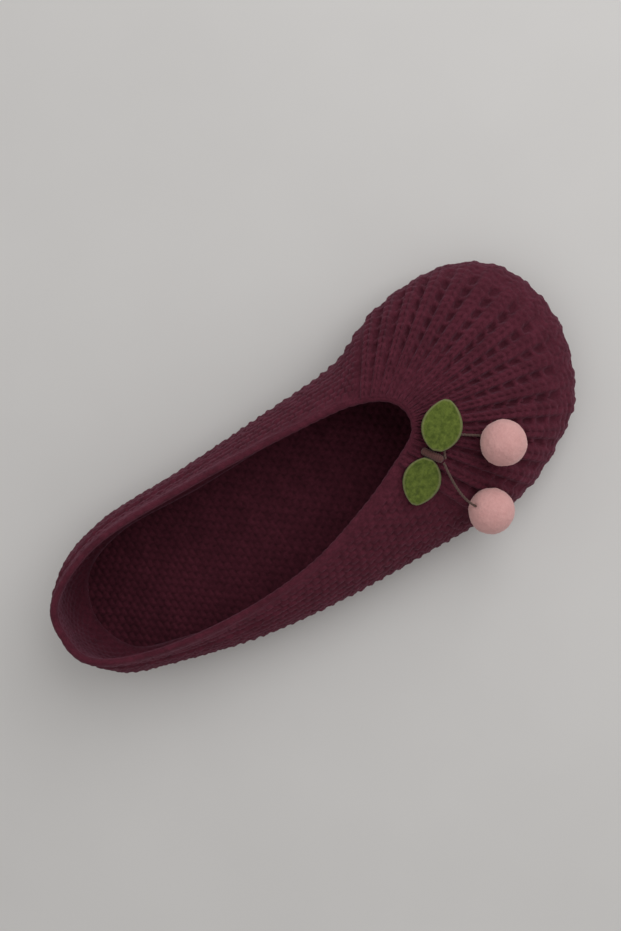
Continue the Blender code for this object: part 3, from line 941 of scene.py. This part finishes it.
@dataclass(frozen=True)
class SeedKnit:
    """Relief of the sides and the sole: staggered purl bumps, each a small arch of yarn, in mm."""

    stitch: float = 4.2
    course: float = 2.65
    height: float = 0.80
    arch: float = 0.30
    thickness: float = 0.50
    level: float = 0.45
    smallest: float = 0.80
    variety: float = 0.36
    wander: tuple[float, float] = (0.55, 0.35)
    wander_size: tuple[float, float] = (23.0, 17.0)

    def relief(self, along: np.ndarray, down: np.ndarray, seed: int) -> tuple[np.ndarray, np.ndarray]:
        """Height over the smooth form, and how much painted shade each point gets between the stitches.

        Every other course is moved by half a stitch.  A bump is a half-round bead that follows an
        arch: its middle line lies arch * (1 - 4 x squared) above the course's line at x stitches
        from the bump's middle, and it thins out towards its ends.

        Args:
            along: Distance along the course, in mm.
            down: Distance across the courses, in mm.
            seed: Picks one of many settled irregularities.

        Returns:
            Height in mm, and a painted shade value from 0 to 1.
        """
        length, width = self.wander_size
        place = np.stack([along / length, down / width, 0 * down + seed], axis=-1)
        along = along + self.wander[0] * lattice_noise(place, seed)
        down = down + self.wander[1] * lattice_noise(place + 40.5, seed + 1)
        rise = np.zeros(np.broadcast(along, down).shape)
        base = np.floor(down / self.course)
        for shift in (-1, 0, 1):
            course = base + shift
            stitches = along / self.stitch + 0.5 * (course % 2)
            number = np.floor(stitches)
            x = stitches - number - 0.5
            middle = course + 0.5 - self.arch * (1 - 4 * x * x)
            size = self.smallest + self.variety * chance(number, course, np.int64(seed))
            bead = round_bead((down / self.course - middle) / self.thickness)
            rise = np.maximum(rise, bead * np.cos(np.pi * x) ** 0.6 * size)
        # painted shade where the bumps are low
        return self.height * (rise - self.level), np.clip(0.75 - 1.3 * rise, 0, 1)


@dataclass(frozen=True)
class EdgeCord:
    """A closed cord of twisted yarn; the stitch is in mm, the radius in metres."""

    name: str
    radius: float
    low: float
    swell: float
    shadow: float
    sides: int
    uneven: float = 0.0
    stitch: float = 4.2
    steps: int = 900

    def lay(self, line: np.ndarray, finish: bpy.types.Material) -> bpy.types.Object:
        """Carries the cord round a closed line, in a whole number of stitches.

        Its radius at angle a and distance s is
        radius * (low + swell * size * |sin(pi * (s / stitch + a / 2 pi))|).
        The size is 1, or differs from strand to strand by up to half of uneven.

        Args:
            line: Places round the closed line.
            finish: The yarn.

        Returns:
            The cord.
        """
        path = spread(line, self.steps, closed=True)
        level, rising = path_sides(path, closed=True)
        distance = walked(path, closed=True)
        count = round(distance[-1] / MM / self.stitch)
        angles = around(self.sides)
        turned, lump = twisted(distance[:-1] / distance[-1] * count, angles)
        size = 1 + self.uneven * (chance(np.floor(turned), np.int64(11)) - 0.5)
        grid = tube(path, level, rising, self.radius * (self.low + self.swell * lump * size), angles)
        chart = np.stack(np.broadcast_arrays(distance[None, :-1] / MM, angles[:, None] * 1.3), axis=-1)
        # painted shade between the strands, at most shadow
        dark = {"painted_shade": np.clip(self.shadow - 1.2 * lump, 0, 1)}
        return add_piece(
            self.name, grid, finish, round_rows=True, round_columns=True, plan=chart, values=dark
        )


@dataclass
class KnittedUpper:
    """The upper: ribbed toe cap, two sides that meet at the heel, and the collar's chain edge."""

    form: SlipperForm
    finish: bpy.types.Material
    fan: FanKnit = field(default_factory=FanKnit)
    seed: SeedKnit = field(default_factory=SeedKnit)
    wall: float = 3.0 * MM
    rim: float = 1.1 * MM
    gap: float = 0.6 * MM
    sink: float = 1.4 * MM
    columns_to_rib: int = 26
    cap_rows: int = 176
    cap_lining_rows: int = 26
    side_step: float = 0.50 * MM
    side_rows: int = 134
    side_lining_rows: int = 54
    lap: float = 0.02
    cap_bunching: float = 0.054
    toe_fullness: float = 1.2
    big_toe_rib: float = 11.2
    big_toe_spread: float = 2.7
    toe_purl: float = 0.80
    purl_below: float = 0.19
    fan_above: float = 0.31
    lining_wave: float = 0.5 * MM
    lining_shade: float = 0.2
    teeth: float = 0.34
    teeth_share: float = 0.34
    teeth_spread: float = 0.20
    parallel: float = 0.62
    parallel_depth: float = 8.6
    parallel_width: float = 0.75
    parallel_ends: tuple[float, float] = (85.0, 120.0)
    cap_groove: float = 0.62
    heel_seam: float = 0.55
    heel_width: float = 0.9
    least_swell: float = 0.40
    foot_share: float = 0.05
    fuzz_heights: tuple[float, float] = (0.17, 0.11)
    fuzz_sizes: tuple[float, float] = (1.5 * MM, 0.75 * MM)
    chart_rib: float = 7.0
    chain: EdgeCord = EdgeCord("collar_edge", 1.3 * MM, 0.90, 0.17, 0.45, 22, 0.16)

    def swell(self, share: np.ndarray) -> np.ndarray:
        """How strongly the ribs stand: least at both edges, most over the crown."""
        return self.least_swell + (1 - self.least_swell) * np.sin(np.pi * share ** 1.4)

    def foot_fade(self, share: np.ndarray) -> np.ndarray:
        """Takes the relief away at the sole, where the wall is stitched down."""
        return smooth_step(0.0, self.foot_share, share)

    def fuzz(self, points: np.ndarray, share: np.ndarray) -> np.ndarray:
        """Unevenness of the brushed yarn in mm: two sizes of smooth noise, none at the sole.

        Args:
            points: Places on the surface.
            share: Share of the walk from sole to collar.

        Returns:
            Height in mm.
        """
        coarse = self.fuzz_heights[0] * lattice_noise(points / self.fuzz_sizes[0], 61)
        fine = self.fuzz_heights[1] * lattice_noise(points / self.fuzz_sizes[1], 62)
        return (coarse + fine) * self.foot_fade(share)

    def slab(
        self,
        name: str,
        outer: np.ndarray,
        inner: np.ndarray,
        plan: np.ndarray,
        lining_plan: np.ndarray,
        painted_shade: np.ndarray,
        lining_painted_shade: np.ndarray,
    ) -> bpy.types.Object:
        """Closes an outer surface and its lining into one slab with a rounded rim.

        Args:
            name: The piece's name.
            outer: The outer surface from sole to collar.
            inner: The lining from sole to collar, with fewer rows.
            plan: Flat places of the outer points.
            lining_plan: Flat places of the lining's points.
            painted_shade: Painted shade of the outer points.
            lining_painted_shade: Painted shade of the lining's points.

        Returns:
            The piece.
        """
        sunk = inner[:1] - np.array([0.0, 0.0, self.sink])
        inner = np.concatenate([sunk, inner])
        lining_plan = np.concatenate([lining_plan[:1], lining_plan])
        lining_painted_shade = np.concatenate([lining_painted_shade[:1], lining_painted_shade])
        up = unit(outer[-1] - outer[-6])
        rim = (outer[-1] + inner[-1]) / 2 + up * self.rim
        grid = np.concatenate([outer, rim[None], inner[::-1]])
        flat = np.concatenate([plan, plan[-1:], lining_plan[::-1]])
        # painted shade of the outer surface, the rim and the lining, kept as an attribute
        dark = {"painted_shade": np.concatenate([painted_shade, painted_shade[-1:], lining_painted_shade[::-1]])}
        return add_piece(name, grid, self.finish, round_rows=True, capped=True, plan=flat, values=dark)

    def toe_cap(self) -> bpy.types.Object:
        """The fan: the form's wall, raised along its normals by the fan's relief.

        Low on the toe the fan gives way to the seed stitch, and the big toe fills the wall out.

        Returns:
            The toe cap.
        """
        at, ribs = self.form.fan_rows(self.columns_to_rib)
        ribs = ribs[None]
        shares = np.linspace(0, 1, self.cap_rows)
        shares = shares - self.cap_bunching * np.sin(2 * np.pi * shares) / np.pi
        form, normals, total = self.form.wall(at, shares)
        share = shares[:, None]
        fade = self.foot_fade(share)
        depth = (1 - share) * total[None] / MM
        width = np.linalg.norm(np.gradient(form, axis=1), axis=2) * self.columns_to_rib / MM
        height, painted_shade = self.fan.relief(ribs, depth, width, share, self.form.ribs)
        run = np.broadcast_to(walked(form[self.cap_rows // 5])[None] / MM, depth.shape)
        purl, purl_painted_shade = self.seed.relief(run, depth, 8)
        low = 1 - smooth_step(self.purl_below, self.fan_above, share)
        height = height * (1 - 0.35 * low) + self.toe_purl * purl * low
        # painted shade of the fan and of the purl stitches low on the toe
        painted_shade = np.maximum(painted_shade, purl_painted_shade * low)
        strength = (0.55 + 0.45 * self.swell(share)) * (0.74 + 0.26 * smooth_step(0.15, 0.34, share))
        big_toe = np.exp(-((ribs - self.big_toe_rib) / self.big_toe_spread) ** 2)
        full = self.toe_fullness * big_toe * (1 - smooth_step(0.40, 0.80, share))
        raised = height * strength * fade + full * fade + self.fuzz(form, share)
        outer = form + normals * (raised * MM)[..., None]
        chart = ribs * self.chart_rib
        plan = np.stack(np.broadcast_arrays(chart, depth), axis=-1)
        shares = np.linspace(0, 1, self.cap_lining_rows)
        share = shares[:, None]
        back, back_normals, back_total = self.form.wall(at, shares)
        wave = -np.cos(2 * np.pi * ribs) * self.swell(share) * self.foot_fade(share)
        inner = back - back_normals * (self.wall + self.lining_wave * wave)[..., None]
        lining_depth = (1 - share) * back_total[None] / MM
        lining_plan = np.stack(np.broadcast_arrays(chart, lining_depth), axis=-1)
        # painted shade laid evenly over the lining
        lining_painted_shade = np.full(lining_depth.shape, self.lining_shade)
        inner[0, :, 2] = form[0, :, 2] - self.gap
        return self.slab("toe_cap", outer, inner, plan, lining_plan, painted_shade, lining_painted_shade)

    def side(self, which: Shoulder) -> bpy.types.Object:
        """One knitted side: the form's wall, raised along its normals by the seed stitch's relief.

        A raised line runs along the collar, small teeth stand where the side bulges most, and
        grooves mark the joins at the cap and at the heel.

        Args:
            which: The side.

        Returns:
            The side.
        """
        sections = len(self.form.sections)
        if which is Shoulder.OUTER:
            first, last = 0.0, self.form.fan_from + self.lap
        else:
            first, last = self.form.fan_to - self.lap, float(sections)
        at, distance = self.form.side_rows(first, last, self.side_step)
        along = distance / MM
        to_cap = along[-1] - along if which is Shoulder.OUTER else along
        to_heel = along if which is Shoulder.OUTER else along[-1] - along
        at_cap = smooth_step(0.4, 3.0, to_cap)
        at_heel = np.exp(-(to_heel / self.heel_width) ** 2)
        short = 1 - smooth_step(*self.parallel_ends, to_heel)
        count = 1 if which is Shoulder.OUTER else 2
        surfaces = []
        for rows, outside in ((self.side_rows, True), (self.side_lining_rows, False)):
            shares = np.linspace(0, 1, rows)
            form, normals, total = self.form.wall(at, shares)
            share = shares[:, None]
            depth = (1 - share) * total[None] / MM
            run = np.broadcast_to(along[None], depth.shape)
            height, painted_shade = self.seed.relief(run, depth, count + (0 if outside else 5))
            fade = self.foot_fade(share)
            band = smooth_step(1.0, 4.0, depth)
            edge = at_cap * (1 - 0.8 * at_heel)
            if outside:
                line = np.exp(-((depth - self.parallel_depth) / self.parallel_width) ** 2) * short
                teeth = np.exp(-((share - self.teeth_share) / self.teeth_spread) ** 2)
                teeth = teeth * np.cos(2 * np.pi * run / self.seed.stitch)
                height = (height * band + self.parallel * line + self.teeth * teeth) * edge
                height = height - self.cap_groove * self.swell(share) * (1 - at_cap)
                height = height - self.heel_seam * at_heel
                height = height - 0.12 * (to_cap < 0.4)
                surface = form + normals * ((height * fade + self.fuzz(form, share)) * MM)[..., None]
            else:
                surface = form - normals * (self.wall - height * 0.8 * band * fade * MM)[..., None]
                surface[0, :, 2] = form[0, :, 2] - self.gap
            plan = np.stack([run, depth], axis=-1)
            # painted shade between the side's stitches, faded near the collar and at the joins
            surfaces.append((surface, plan, np.clip(painted_shade * band * edge, 0, 1)))
        (outer, plan, painted_shade), (inner, lining_plan, lining_painted_shade) = surfaces
        return self.slab(which.value, outer, inner, plan, lining_plan, painted_shade, lining_painted_shade)

    def collar_edge(self) -> bpy.types.Object:
        """The collar's chain edge, carried round the middle of the rim.

        Returns:
            The edge.
        """
        form, normals, _ = self.form.wall(self.form.once_round(), np.array([0.97, 1.0]))
        up = unit(form[1] - form[0])
        rim = form[1] - normals[1] * self.wall / 2 + up * 0.1 * MM
        return self.chain.lay(rim, self.finish)

    def build(self) -> None:
        """Makes the upper's pieces."""
        place_on_slipper(self.toe_cap(), "burgundy_knit", "upper")
        for which in Shoulder:
            place_on_slipper(self.side(which), "burgundy_knit", "upper")
        place_on_slipper(self.collar_edge(), "burgundy_knit")


# ---------------------------------------------------------------- the knitted sole

@dataclass
class KnittedSole:
    """The sole: a knitted panel with a round edge, and the cord that joins it to the upper."""

    form: SlipperForm
    finish: bpy.types.Material
    knit: SeedKnit = field(default_factory=lambda: SeedKnit(height=0.70))
    lip: float = 0.8 * MM
    seated: float = 0.71
    edge_fade: float = 2.5 * MM
    cord_outset: float = 0.3 * MM
    cord_rise: float = 0.1 * MM
    stations: int = 370
    across: int = 96
    under: int = 80
    cord: EdgeCord = EdgeCord("sole_seam", 1.35 * MM, 0.78, 0.30, 0.60, 16)

    def edges(self, stations: np.ndarray) -> tuple[np.ndarray, np.ndarray, np.ndarray]:
        """The sole's outline read at shares of its length.

        Args:
            stations: Shares of the length.

        Returns:
            Distance along, y of the outer edge and y of the inner edge.
        """
        line = self.form.foot_line(self.form.once_round(), self.lip)
        line = np.roll(line, -line[:, 0].argmin(), axis=0)
        tip = line[:, 0].argmax()
        outer, inner = line[:tip + 1], np.concatenate([line[tip:], line[:1]])[::-1]
        x = line[0, 0] + (line[tip, 0] - line[0, 0]) * stations
        return x, np.interp(x, outer[:, 0], outer[:, 1]), np.interp(x, inner[:, 0], inner[:, 1])

    def panel(self) -> bpy.types.Object:
        """The panel: at each station a flat ring with round edges, raised by the seed stitch.

        Across a station y = middle + (half - r) * k + r * cos(a), and the height is the sole's
        underside + half its thickness + r * sin(a), with k running over the top and back under.

        Returns:
            The panel.
        """
        turn = np.linspace(0.035, np.pi - 0.035, self.stations)
        uniform = np.linspace(0.0005, 0.9995, self.stations)
        rounded = (1 - np.cos(turn)) / 2
        x, outer, inner = self.edges(0.6 * uniform + 0.4 * rounded)
        middle, half = (outer + inner) / 2, np.abs(inner - outer) / 2
        over, back = np.linspace(-1, 1, self.across), np.linspace(1, -1, self.under)
        reach = np.concatenate([over, np.ones(5), back, -np.ones(5)])
        top, base = np.full(self.across, 90.0), np.full(self.under, -90.0)
        angle = np.concatenate([top, [75, 45, 0, -45, -75], base, [-105, -135, -180, -225, -255]])
        corner = np.minimum(self.form.sole / 2, half)
        cos, sin = np.cos(np.radians(angle))[:, None], np.sin(np.radians(angle))[:, None]
        y = middle[None] + (half - corner)[None] * reach[:, None] + corner[None] * cos
        spot = np.broadcast_to(x[None], y.shape)
        lift = self.form.sole_lift(spot + self.form.heel_seat, y)
        relief, painted_shade = self.knit.relief(y / MM, spot / MM, 21)
        inside = smooth_step(0.0, self.edge_fade, half[None] - np.abs(y - middle[None]))
        relief = (relief - self.seated * self.knit.height) * MM * inside
        z = lift + self.form.sole / 2 + (self.form.sole / 2 + relief) * sin
        grid = np.stack([spot, y, z], axis=-1)
        flat = np.stack([y / MM, spot / MM], axis=-1)
        # painted shade between the sole's stitches, none at its round edge
        dark = {"painted_shade": painted_shade * inside}
        closed = {"round_rows": True, "capped": True, "flip": True}
        return add_piece("knitted_sole", grid, self.finish, **closed, plan=flat, values=dark)

    def seam(self) -> bpy.types.Object:
        """The joining cord, carried round the foot of the upper.

        Returns:
            The cord.
        """
        line = self.form.foot_line(self.form.once_round(), self.cord_outset)
        line[:, 2] += self.cord_rise
        return self.cord.lay(line, self.finish)

    def build(self) -> None:
        """Makes the sole's pieces."""
        place_on_slipper(self.panel(), "burgundy_sole_knit", "sole")
        place_on_slipper(self.seam(), "burgundy_sole_knit")


# ---------------------------------------------------------------- leaves, tie, stems and pompoms

@dataclass
class FeltLeaf:
    """A felt leaf: two layers with a raised rim, painted paler as a highlight, and a pressed middle vein."""

    name: str
    start: tuple[float, float]
    degrees: float
    length: float
    width: float
    finish: bpy.types.Material
    thickness: float = 1.6 * MM
    edge_share: float = 0.14
    rounding: float = 1.35 * MM
    rim: float = 0.8 * MM
    rim_height: float = 0.06
    vein_width: float = 0.42 * MM
    vein_depth: float = 0.34
    rib_step: float = 3.4
    rib_depth: float = 0.065
    nap: float = 0.055
    nap_sizes: tuple[float, float] = (0.9 * MM, 0.42 * MM)
    rows: int = 110
    columns: int = 84

    def fullness(self, u: np.ndarray) -> np.ndarray:
        """Share of the width at share u of the length: sin(pi u ** 0.92) ** 0.62."""
        return np.sin(np.pi * np.clip(u, 0, 1) ** 0.92) ** 0.62

    def terms(self, plan: np.ndarray) -> np.ndarray:
        """The terms of a quadratic surface at places in plan."""
        x, y = np.moveaxis((plan - np.array(self.start)) / self.length, -1, 0)
        return np.stack([np.ones_like(x), x, y, x * x, x * y, y * y], axis=-1)

    def seat(self) -> np.ndarray:
        """Fits a quadratic surface to the solid leaf's underside.

        Returns:
            Its six weights.
        """
        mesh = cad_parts[self.name].data
        down = read_all(mesh.polygons, "normal", 3, float)[:, 2] < -0.3
        sides = read_all(mesh.polygons, "loop_total", 1, np.int32)[:, 0]
        corners = read_all(mesh.loops, "vertex_index", 1, np.int32)[:, 0]
        low = np.unique(corners[np.repeat(down, sides)])
        under = read_all(mesh.vertices, "co", 3, float)[low]
        return np.linalg.lstsq(self.terms(under[:, :2]), under[:, 2], rcond=None)[0]

    def build(self) -> None:
        """Makes the leaf: a quadratic surface raised by its thickness and rim, lowered at its veins."""
        angle = math.radians(self.degrees)
        along = np.array([math.cos(angle), math.sin(angle)])
        side = np.array([-along[1], along[0]])
        # rows run from base to tip, because rings from the middle out would pinch
        us = (1 - np.cos(np.linspace(0.075 * np.pi, 0.94 * np.pi, self.rows))) / 2
        turn = np.linspace(-np.pi / 2, np.pi / 2, self.columns)
        vs = np.sin(turn)
        half = self.fullness(us) * self.width / 2
        aside = vs[None] * half[:, None]
        plan = np.array(self.start) + us[:, None, None] * self.length * along + aside[..., None] * side
        ground = self.terms(plan) @ self.seat()
        ends = np.minimum(us - us[0], (us[-1] - us)) * self.length
        to_edge = np.minimum((1 - np.abs(vs))[None] * half[:, None], ends[:, None] * 1.15)
        rim = np.exp(-((to_edge - self.rim * 0.62) / (self.rim * 0.45)) ** 2)
        rounding = round_bead(np.clip(1 - to_edge / self.rounding, 0, 1))
        shown = smooth_step(0.08, 0.2, us) * (1 - smooth_step(0.72, 0.9, us))
        vein = np.exp(-(aside / self.vein_width) ** 2) * shown[:, None]
        slant = np.abs(aside) / MM * 0.75 - us[:, None] * self.length / MM
        ribs = np.exp(-(np.abs((slant / self.rib_step) % 1.0 - 0.5) / 0.11) ** 2)
        ribs = ribs * smooth_step(0.6, 1.8, to_edge / MM)
        level = np.zeros_like(plan[..., :1])
        nap = lattice_noise(np.concatenate([plan / self.nap_sizes[0], level], axis=-1), 5)
        nap += 0.6 * lattice_noise(np.concatenate([plan / self.nap_sizes[1], level], axis=-1), 6)
        relief = self.rim_height * rim - self.vein_depth * vein
        relief = relief - self.rib_depth * ribs + self.nap * nap * rounding
        lift = self.thickness * (self.edge_share + (1 - self.edge_share) * rounding) + MM * relief
        top = np.concatenate([plan, (ground + lift)[..., None]], axis=-1)
        bottom = np.concatenate([plan, ground[..., None]], axis=-1)
        grid = np.concatenate([bottom, top[:, ::-1]], axis=1)
        # painted highlight on the raised rim, held back over the vein
        raised = np.clip(0.85 * rim * rounding - 0.55 * vein, 0, 1)
        pale = {"raised": np.concatenate([0 * raised, raised[:, ::-1]], axis=1)}
        made = add_piece(f"felt_{self.name}", grid, self.finish, round_columns=True, capped=True, values=pale)
        place_on_slipper(made, "green_felt", self.name)


@dataclass
class BoundTie:
    """The cord wound round the leaves' stalks and the stems."""

    finish: bpy.types.Material
    centre: tuple[float, float, float] = (134.05, -16.93, 44.47)
    direction: tuple[float, float, float] = (4.9, -7.8, 0.0)
    length: float = 9.4
    radius: float = 1.60
    low: float = 0.92
    swell: float = 0.09
    wraps: int = 10
    steps: int = 180
    sides: int = 28

    def build(self) -> None:
        """Makes the tie: a round bar closed at both ends whose radius swells once for each wrap."""
        along = unit(np.array(self.direction))
        share = np.linspace(0, 1, self.steps)
        path = np.array(self.centre) + (share[:, None] - 0.5) * self.length * along
        angles = around(self.sides)
        _, lump = twisted(share * self.wraps, angles)
        ends = np.sqrt(np.clip(1 - (2 * np.abs(share - 0.5)) ** 8, 0.02, 1))[None]
        level, rising = path_sides(path)
        radius = self.radius * MM * (self.low + self.swell * lump) * ends
        grid = tube(path * MM, level, rising, radius, angles)
        # painted shade between the wraps
        painted_shade = {"painted_shade": np.clip(0.4 - 1.3 * lump, 0, 1)}
        made = add_piece("bound_tie", grid, self.finish, round_rows=True, capped=True, values=painted_shade)
        place_on_slipper(made, "brown_cord", "tie")


@dataclass
class Stem:
    """A pompom's stem: a thin cord of two twisted plies."""

    name: str
    route: tuple[tuple[float, float, float], ...]
    finish: bpy.types.Material
    radius: float = 0.48
    low: float = 0.80
    swell: float = 0.26
    twist: float = 1.3
    steps: int = 220
    sides: int = 14

    def build(self) -> None:
        """Makes the stem along its route, with a radius that swells at each ply."""
        points = np.array(self.route)
        for _ in range(3):
            middle = (points[:-1] + points[1:]) / 2
            cut = np.stack([0.5 * (points[:-1] + middle), 0.5 * (middle + points[1:])], axis=1)
            points = np.concatenate([points[:1], cut.reshape(-1, 3), points[-1:]])
        path = spread(points, self.steps)
        level, rising = path_sides(path)
        angles = around(self.sides)
        _, lump = twisted(walked(path) / self.twist, angles)
        radius = self.radius * MM * (self.low + self.swell * lump)
        grid = tube(path * MM, level, rising, radius, angles)
        # painted shade between the plies
        painted_shade = {"painted_shade": np.clip(0.5 - 0.9 * lump, 0, 1)}
        made = add_piece(f"cord_{self.name}", grid, self.finish, round_rows=True, capped=True, values=painted_shade)
        place_on_slipper(made, "brown_cord", self.name)


@dataclass
class Pompom:
    """A felted ball: slightly uneven, matted on top, dimpled where its stem goes in, with a painted highlight
    where the matting stands out.
    """

    name: str
    centre: tuple[float, float, float]
    mouth: tuple[float, float, float]
    seed: int
    finish: bpy.types.Material
    radius: float = 9.1
    lumps: tuple[tuple[float, float], ...] = ((0.16, 2.3), (0.10, 6.0))
    matting: tuple[tuple[float, float], ...] = ((0.085, 15.0), (0.045, 34.0))
    dimple: float = 0.7
    dimple_width: float = 0.14
    rows: int = 130
    columns: int = 150

    def build(self) -> None:
        """Makes the ball: a sphere whose radius carries four sizes of noise and the stem's dimple."""
        down = np.linspace(0, np.pi, self.rows + 2)[1:-1]
        round_way = around(self.columns)
        axis = unit(np.array(self.mouth) - np.array(self.centre))
        first = unit(np.cross(axis, [0.0, 0.0, 1.0]))
        second = np.cross(axis, first)
        ring = np.cos(round_way)[:, None] * first + np.sin(round_way)[:, None] * second
        ways = np.cos(down)[:, None, None] * axis + np.sin(down)[:, None, None] * ring[None]
        rough = np.zeros(ways.shape[:2])
        for number, (height, scale) in enumerate(self.lumps):
            rough += height * lattice_noise(ways * scale + 9, self.seed + number)
        matted = np.zeros(ways.shape[:2])
        for number, (height, scale) in enumerate(self.matting, 2):
            matted += height * lattice_noise(ways * scale, self.seed + number)
        dimple = self.dimple * np.exp(-(down / self.dimple_width) ** 2)[:, None]
        radius = self.radius + rough + matted - dimple
        grid = (np.array(self.centre) + ways * radius[..., None]) * MM
        # painted highlight where the matting stands out
        pale = {"raised": np.clip(1.6 * (matted + 0.04), 0, 1) * 0.5}
        closed = {"round_columns": True, "capped": True, "flip": True}
        made = add_piece(f"felted_{self.name}", grid, self.finish, **closed, values=pale)
        place_on_slipper(made, "pink_flock", self.name)


@dataclass
class CherryTrim:
    """The trim on the outer side of the throat: two leaves, a tie, two stems and two pompoms."""

    felt: bpy.types.Material
    cord: bpy.types.Material
    binding: bpy.types.Material
    flock: bpy.types.Material
    front_route: tuple[tuple[float, float, float], ...] = (
        (137.45, -20.94, 44.47), (138.22, -19.30, 44.41), (139.19, -17.48, 44.25), (140.32, -15.96, 44.00),
        (141.59, -14.95, 43.69), (142.98, -14.43, 43.34), (144.45, -14.51, 42.98), (145.98, -15.07, 42.62),
        (147.53, -16.03, 42.28), (149.09, -17.17, 42.00), (150.63, -18.28, 41.78), (152.11, -19.27, 41.66),
        (153.51, -20.34, 41.65), (154.79, -21.47, 41.77), (155.95, -22.76, 42.06),
    )
    side_route: tuple[tuple[float, float, float], ...] = (
        (136.18, -21.74, 44.47), (135.95, -23.45, 44.52), (135.73, -25.19, 44.63), (135.54, -26.94, 44.77),
        (135.38, -28.69, 44.94), (135.28, -30.44, 45.08), (135.24, -32.17, 45.18), (135.27, -33.88, 45.22),
        (135.38, -35.55, 45.15), (135.59, -37.17, 44.96), (135.91, -38.74, 44.62), (136.34, -40.24, 44.09),
        (136.91, -41.67, 43.36), (137.61, -43.02, 42.39), (138.47, -44.27, 41.16),
    )
    front_centre: tuple[float, float, float] = (159.8, -27.69, 43.39)
    side_centre: tuple[float, float, float] = (141.4, -48.01, 36.88)
    throat: tuple[float, float] = (136.0, 2.17)

    def build(self) -> None:
        """Makes the trim's pieces."""
        x, y = self.throat
        front, side = ((x + 0.3) * MM, (y - 18.9) * MM), ((x - 3.6) * MM, (y - 19.2) * MM)
        FeltLeaf("leaf_front", front, 46.0, 21.0 * MM, 15.8 * MM, self.felt).build()
        FeltLeaf("leaf_side", side, 220.0, 20.0 * MM, 14.8 * MM, self.felt).build()
        BoundTie(self.binding).build()
        Stem("stem_front", self.front_route, self.cord).build()
        Stem("stem_side", self.side_route, self.cord).build()
        Pompom("pompom_front", self.front_centre, self.front_route[-1], 31, self.flock).build()
        Pompom("pompom_side", self.side_centre, self.side_route[-1], 47, self.flock).build()


# ---------------------------------------------------------------- the studio

@dataclass(frozen=True)
class Studio:
    """The board the slipper stands on, the lights and the camera."""

    eye: tuple[float, float, float] = (0.16405, -0.00818, 0.580)
    aim: tuple[float, float, float] = (0.08808, 0.00596, 0.020)
    picture_up: tuple[float, float, float] = (0.54076, 0.84118, 0.0)
    lens: float = 53.0
    key_way: tuple[float, float, float] = (0.70, 0.16, 0.69)
    key_size: float = 0.95
    key_power: float = 5.0
    fill_way: tuple[float, float, float] = (-0.25, 0.55, 0.8)
    fill_size: float = 1.6
    fill_power: float = 1.1
    light_distance: float = 0.95
    sky: tuple[float, float, float] = (1.0, 0.985, 0.97)
    sky_strength: float = 0.47

    def turned(self, eye: Vector, aim: Vector, up: Vector) -> Matrix:
        """A place and a turn that look from one point at another.

        Args:
            eye: Where it stands.
            aim: Where it looks.
            up: What is at the top of the view.

        Returns:
            The matrix.
        """
        forward = (aim - eye).normalized()
        right = forward.cross(up).normalized()
        rising = right.cross(forward)
        turn = Matrix((right, rising, -forward)).transposed().to_4x4()
        return Matrix.Translation(eye) @ turn

    def light(self, name: str, way: tuple[float, float, float], size: float, power: float) -> None:
        """Adds a square soft light that looks at the slipper.

        Args:
            name: The light's name.
            way: The direction it stands in.
            size: Length of its side.
            power: How strong it is.
        """
        lamp = bpy.data.lights.new(name, "AREA")
        lamp.size = size
        lamp.energy = power
        holder = bpy.data.objects.new(name, lamp)
        aim = Vector(self.aim)
        place = aim + Vector(way).normalized() * self.light_distance
        holder.matrix_world = self.turned(place, aim, Vector((0, 1, 0)))
        bpy.context.scene.collection.objects.link(holder)

    def build(self) -> None:
        """Makes the board, the lights and the camera, and sets a plain view of the colours."""
        side = np.linspace(-4.0, 4.0, 9)
        grid = np.stack(np.broadcast_arrays(side[None, :], side[:, None], np.zeros((9, 9))), axis=-1)
        add_piece("board", grid, TableFinish().make())
        self.light("window", self.key_way, self.key_size, self.key_power)
        self.light("room", self.fill_way, self.fill_size, self.fill_power)
        world = bpy.data.worlds.new("room_light")
        world.use_nodes = True
        backdrop = world.node_tree.nodes["Background"]
        backdrop.inputs["Color"].default_value = shade(*self.sky)
        backdrop.inputs["Strength"].default_value = self.sky_strength
        scene = bpy.context.scene
        scene.world = world
        scene.view_settings.view_transform = "Standard"
        lens = bpy.data.cameras.new("camera")
        lens.lens = self.lens
        lens.sensor_width = 36.0
        holder = bpy.data.objects.new("camera", lens)
        holder.matrix_world = self.turned(Vector(self.eye), Vector(self.aim), Vector(self.picture_up))
        scene.collection.objects.link(holder)
        scene.camera = holder


def main() -> None:
    """Builds each sub-assembly in turn, then the studio."""
    logging.basicConfig(level=logging.INFO, format="%(message)s")
    form = SlipperForm()
    bloom = (1.0, 0.50, 0.70)
    burgundy = YarnFinish("burgundy_yarn", (0.094, 0.0160, 0.0295), (0.066, 0.0105, 0.0200), bloom)
    # the sole's yarn takes stronger painted shade between its stitches
    sole_yarn = YarnFinish(
        "burgundy_sole_yarn", (0.086, 0.0150, 0.0272), (0.058, 0.0095, 0.0180), bloom, painted_shade_strength=0.70
    )
    # the third colour of each felt is its painted highlight
    green = FeltFinish("green_felt", (0.124, 0.164, 0.028), (0.058, 0.084, 0.012), (0.205, 0.205, 0.090))
    pink = FeltFinish(
        "pink_flock",
        (0.64, 0.350, 0.335),
        (0.59, 0.310, 0.297),
        (0.70, 0.41, 0.395),
        fleck=1.4 * MM,
        bloom_weight=0.25,
    )
    brown = CordFinish("brown_cord", (0.105, 0.060, 0.046), (0.060, 0.032, 0.025))
    russet = CordFinish("russet_binding", (0.112, 0.042, 0.036), (0.074, 0.026, 0.023))
    KnittedUpper(form, burgundy.make()).build()
    KnittedSole(form, sole_yarn.make()).build()
    CherryTrim(green.make(), brown.make(), russet.make(), pink.make()).build()
    Studio().build()


if __name__ == "__main__":
    main()
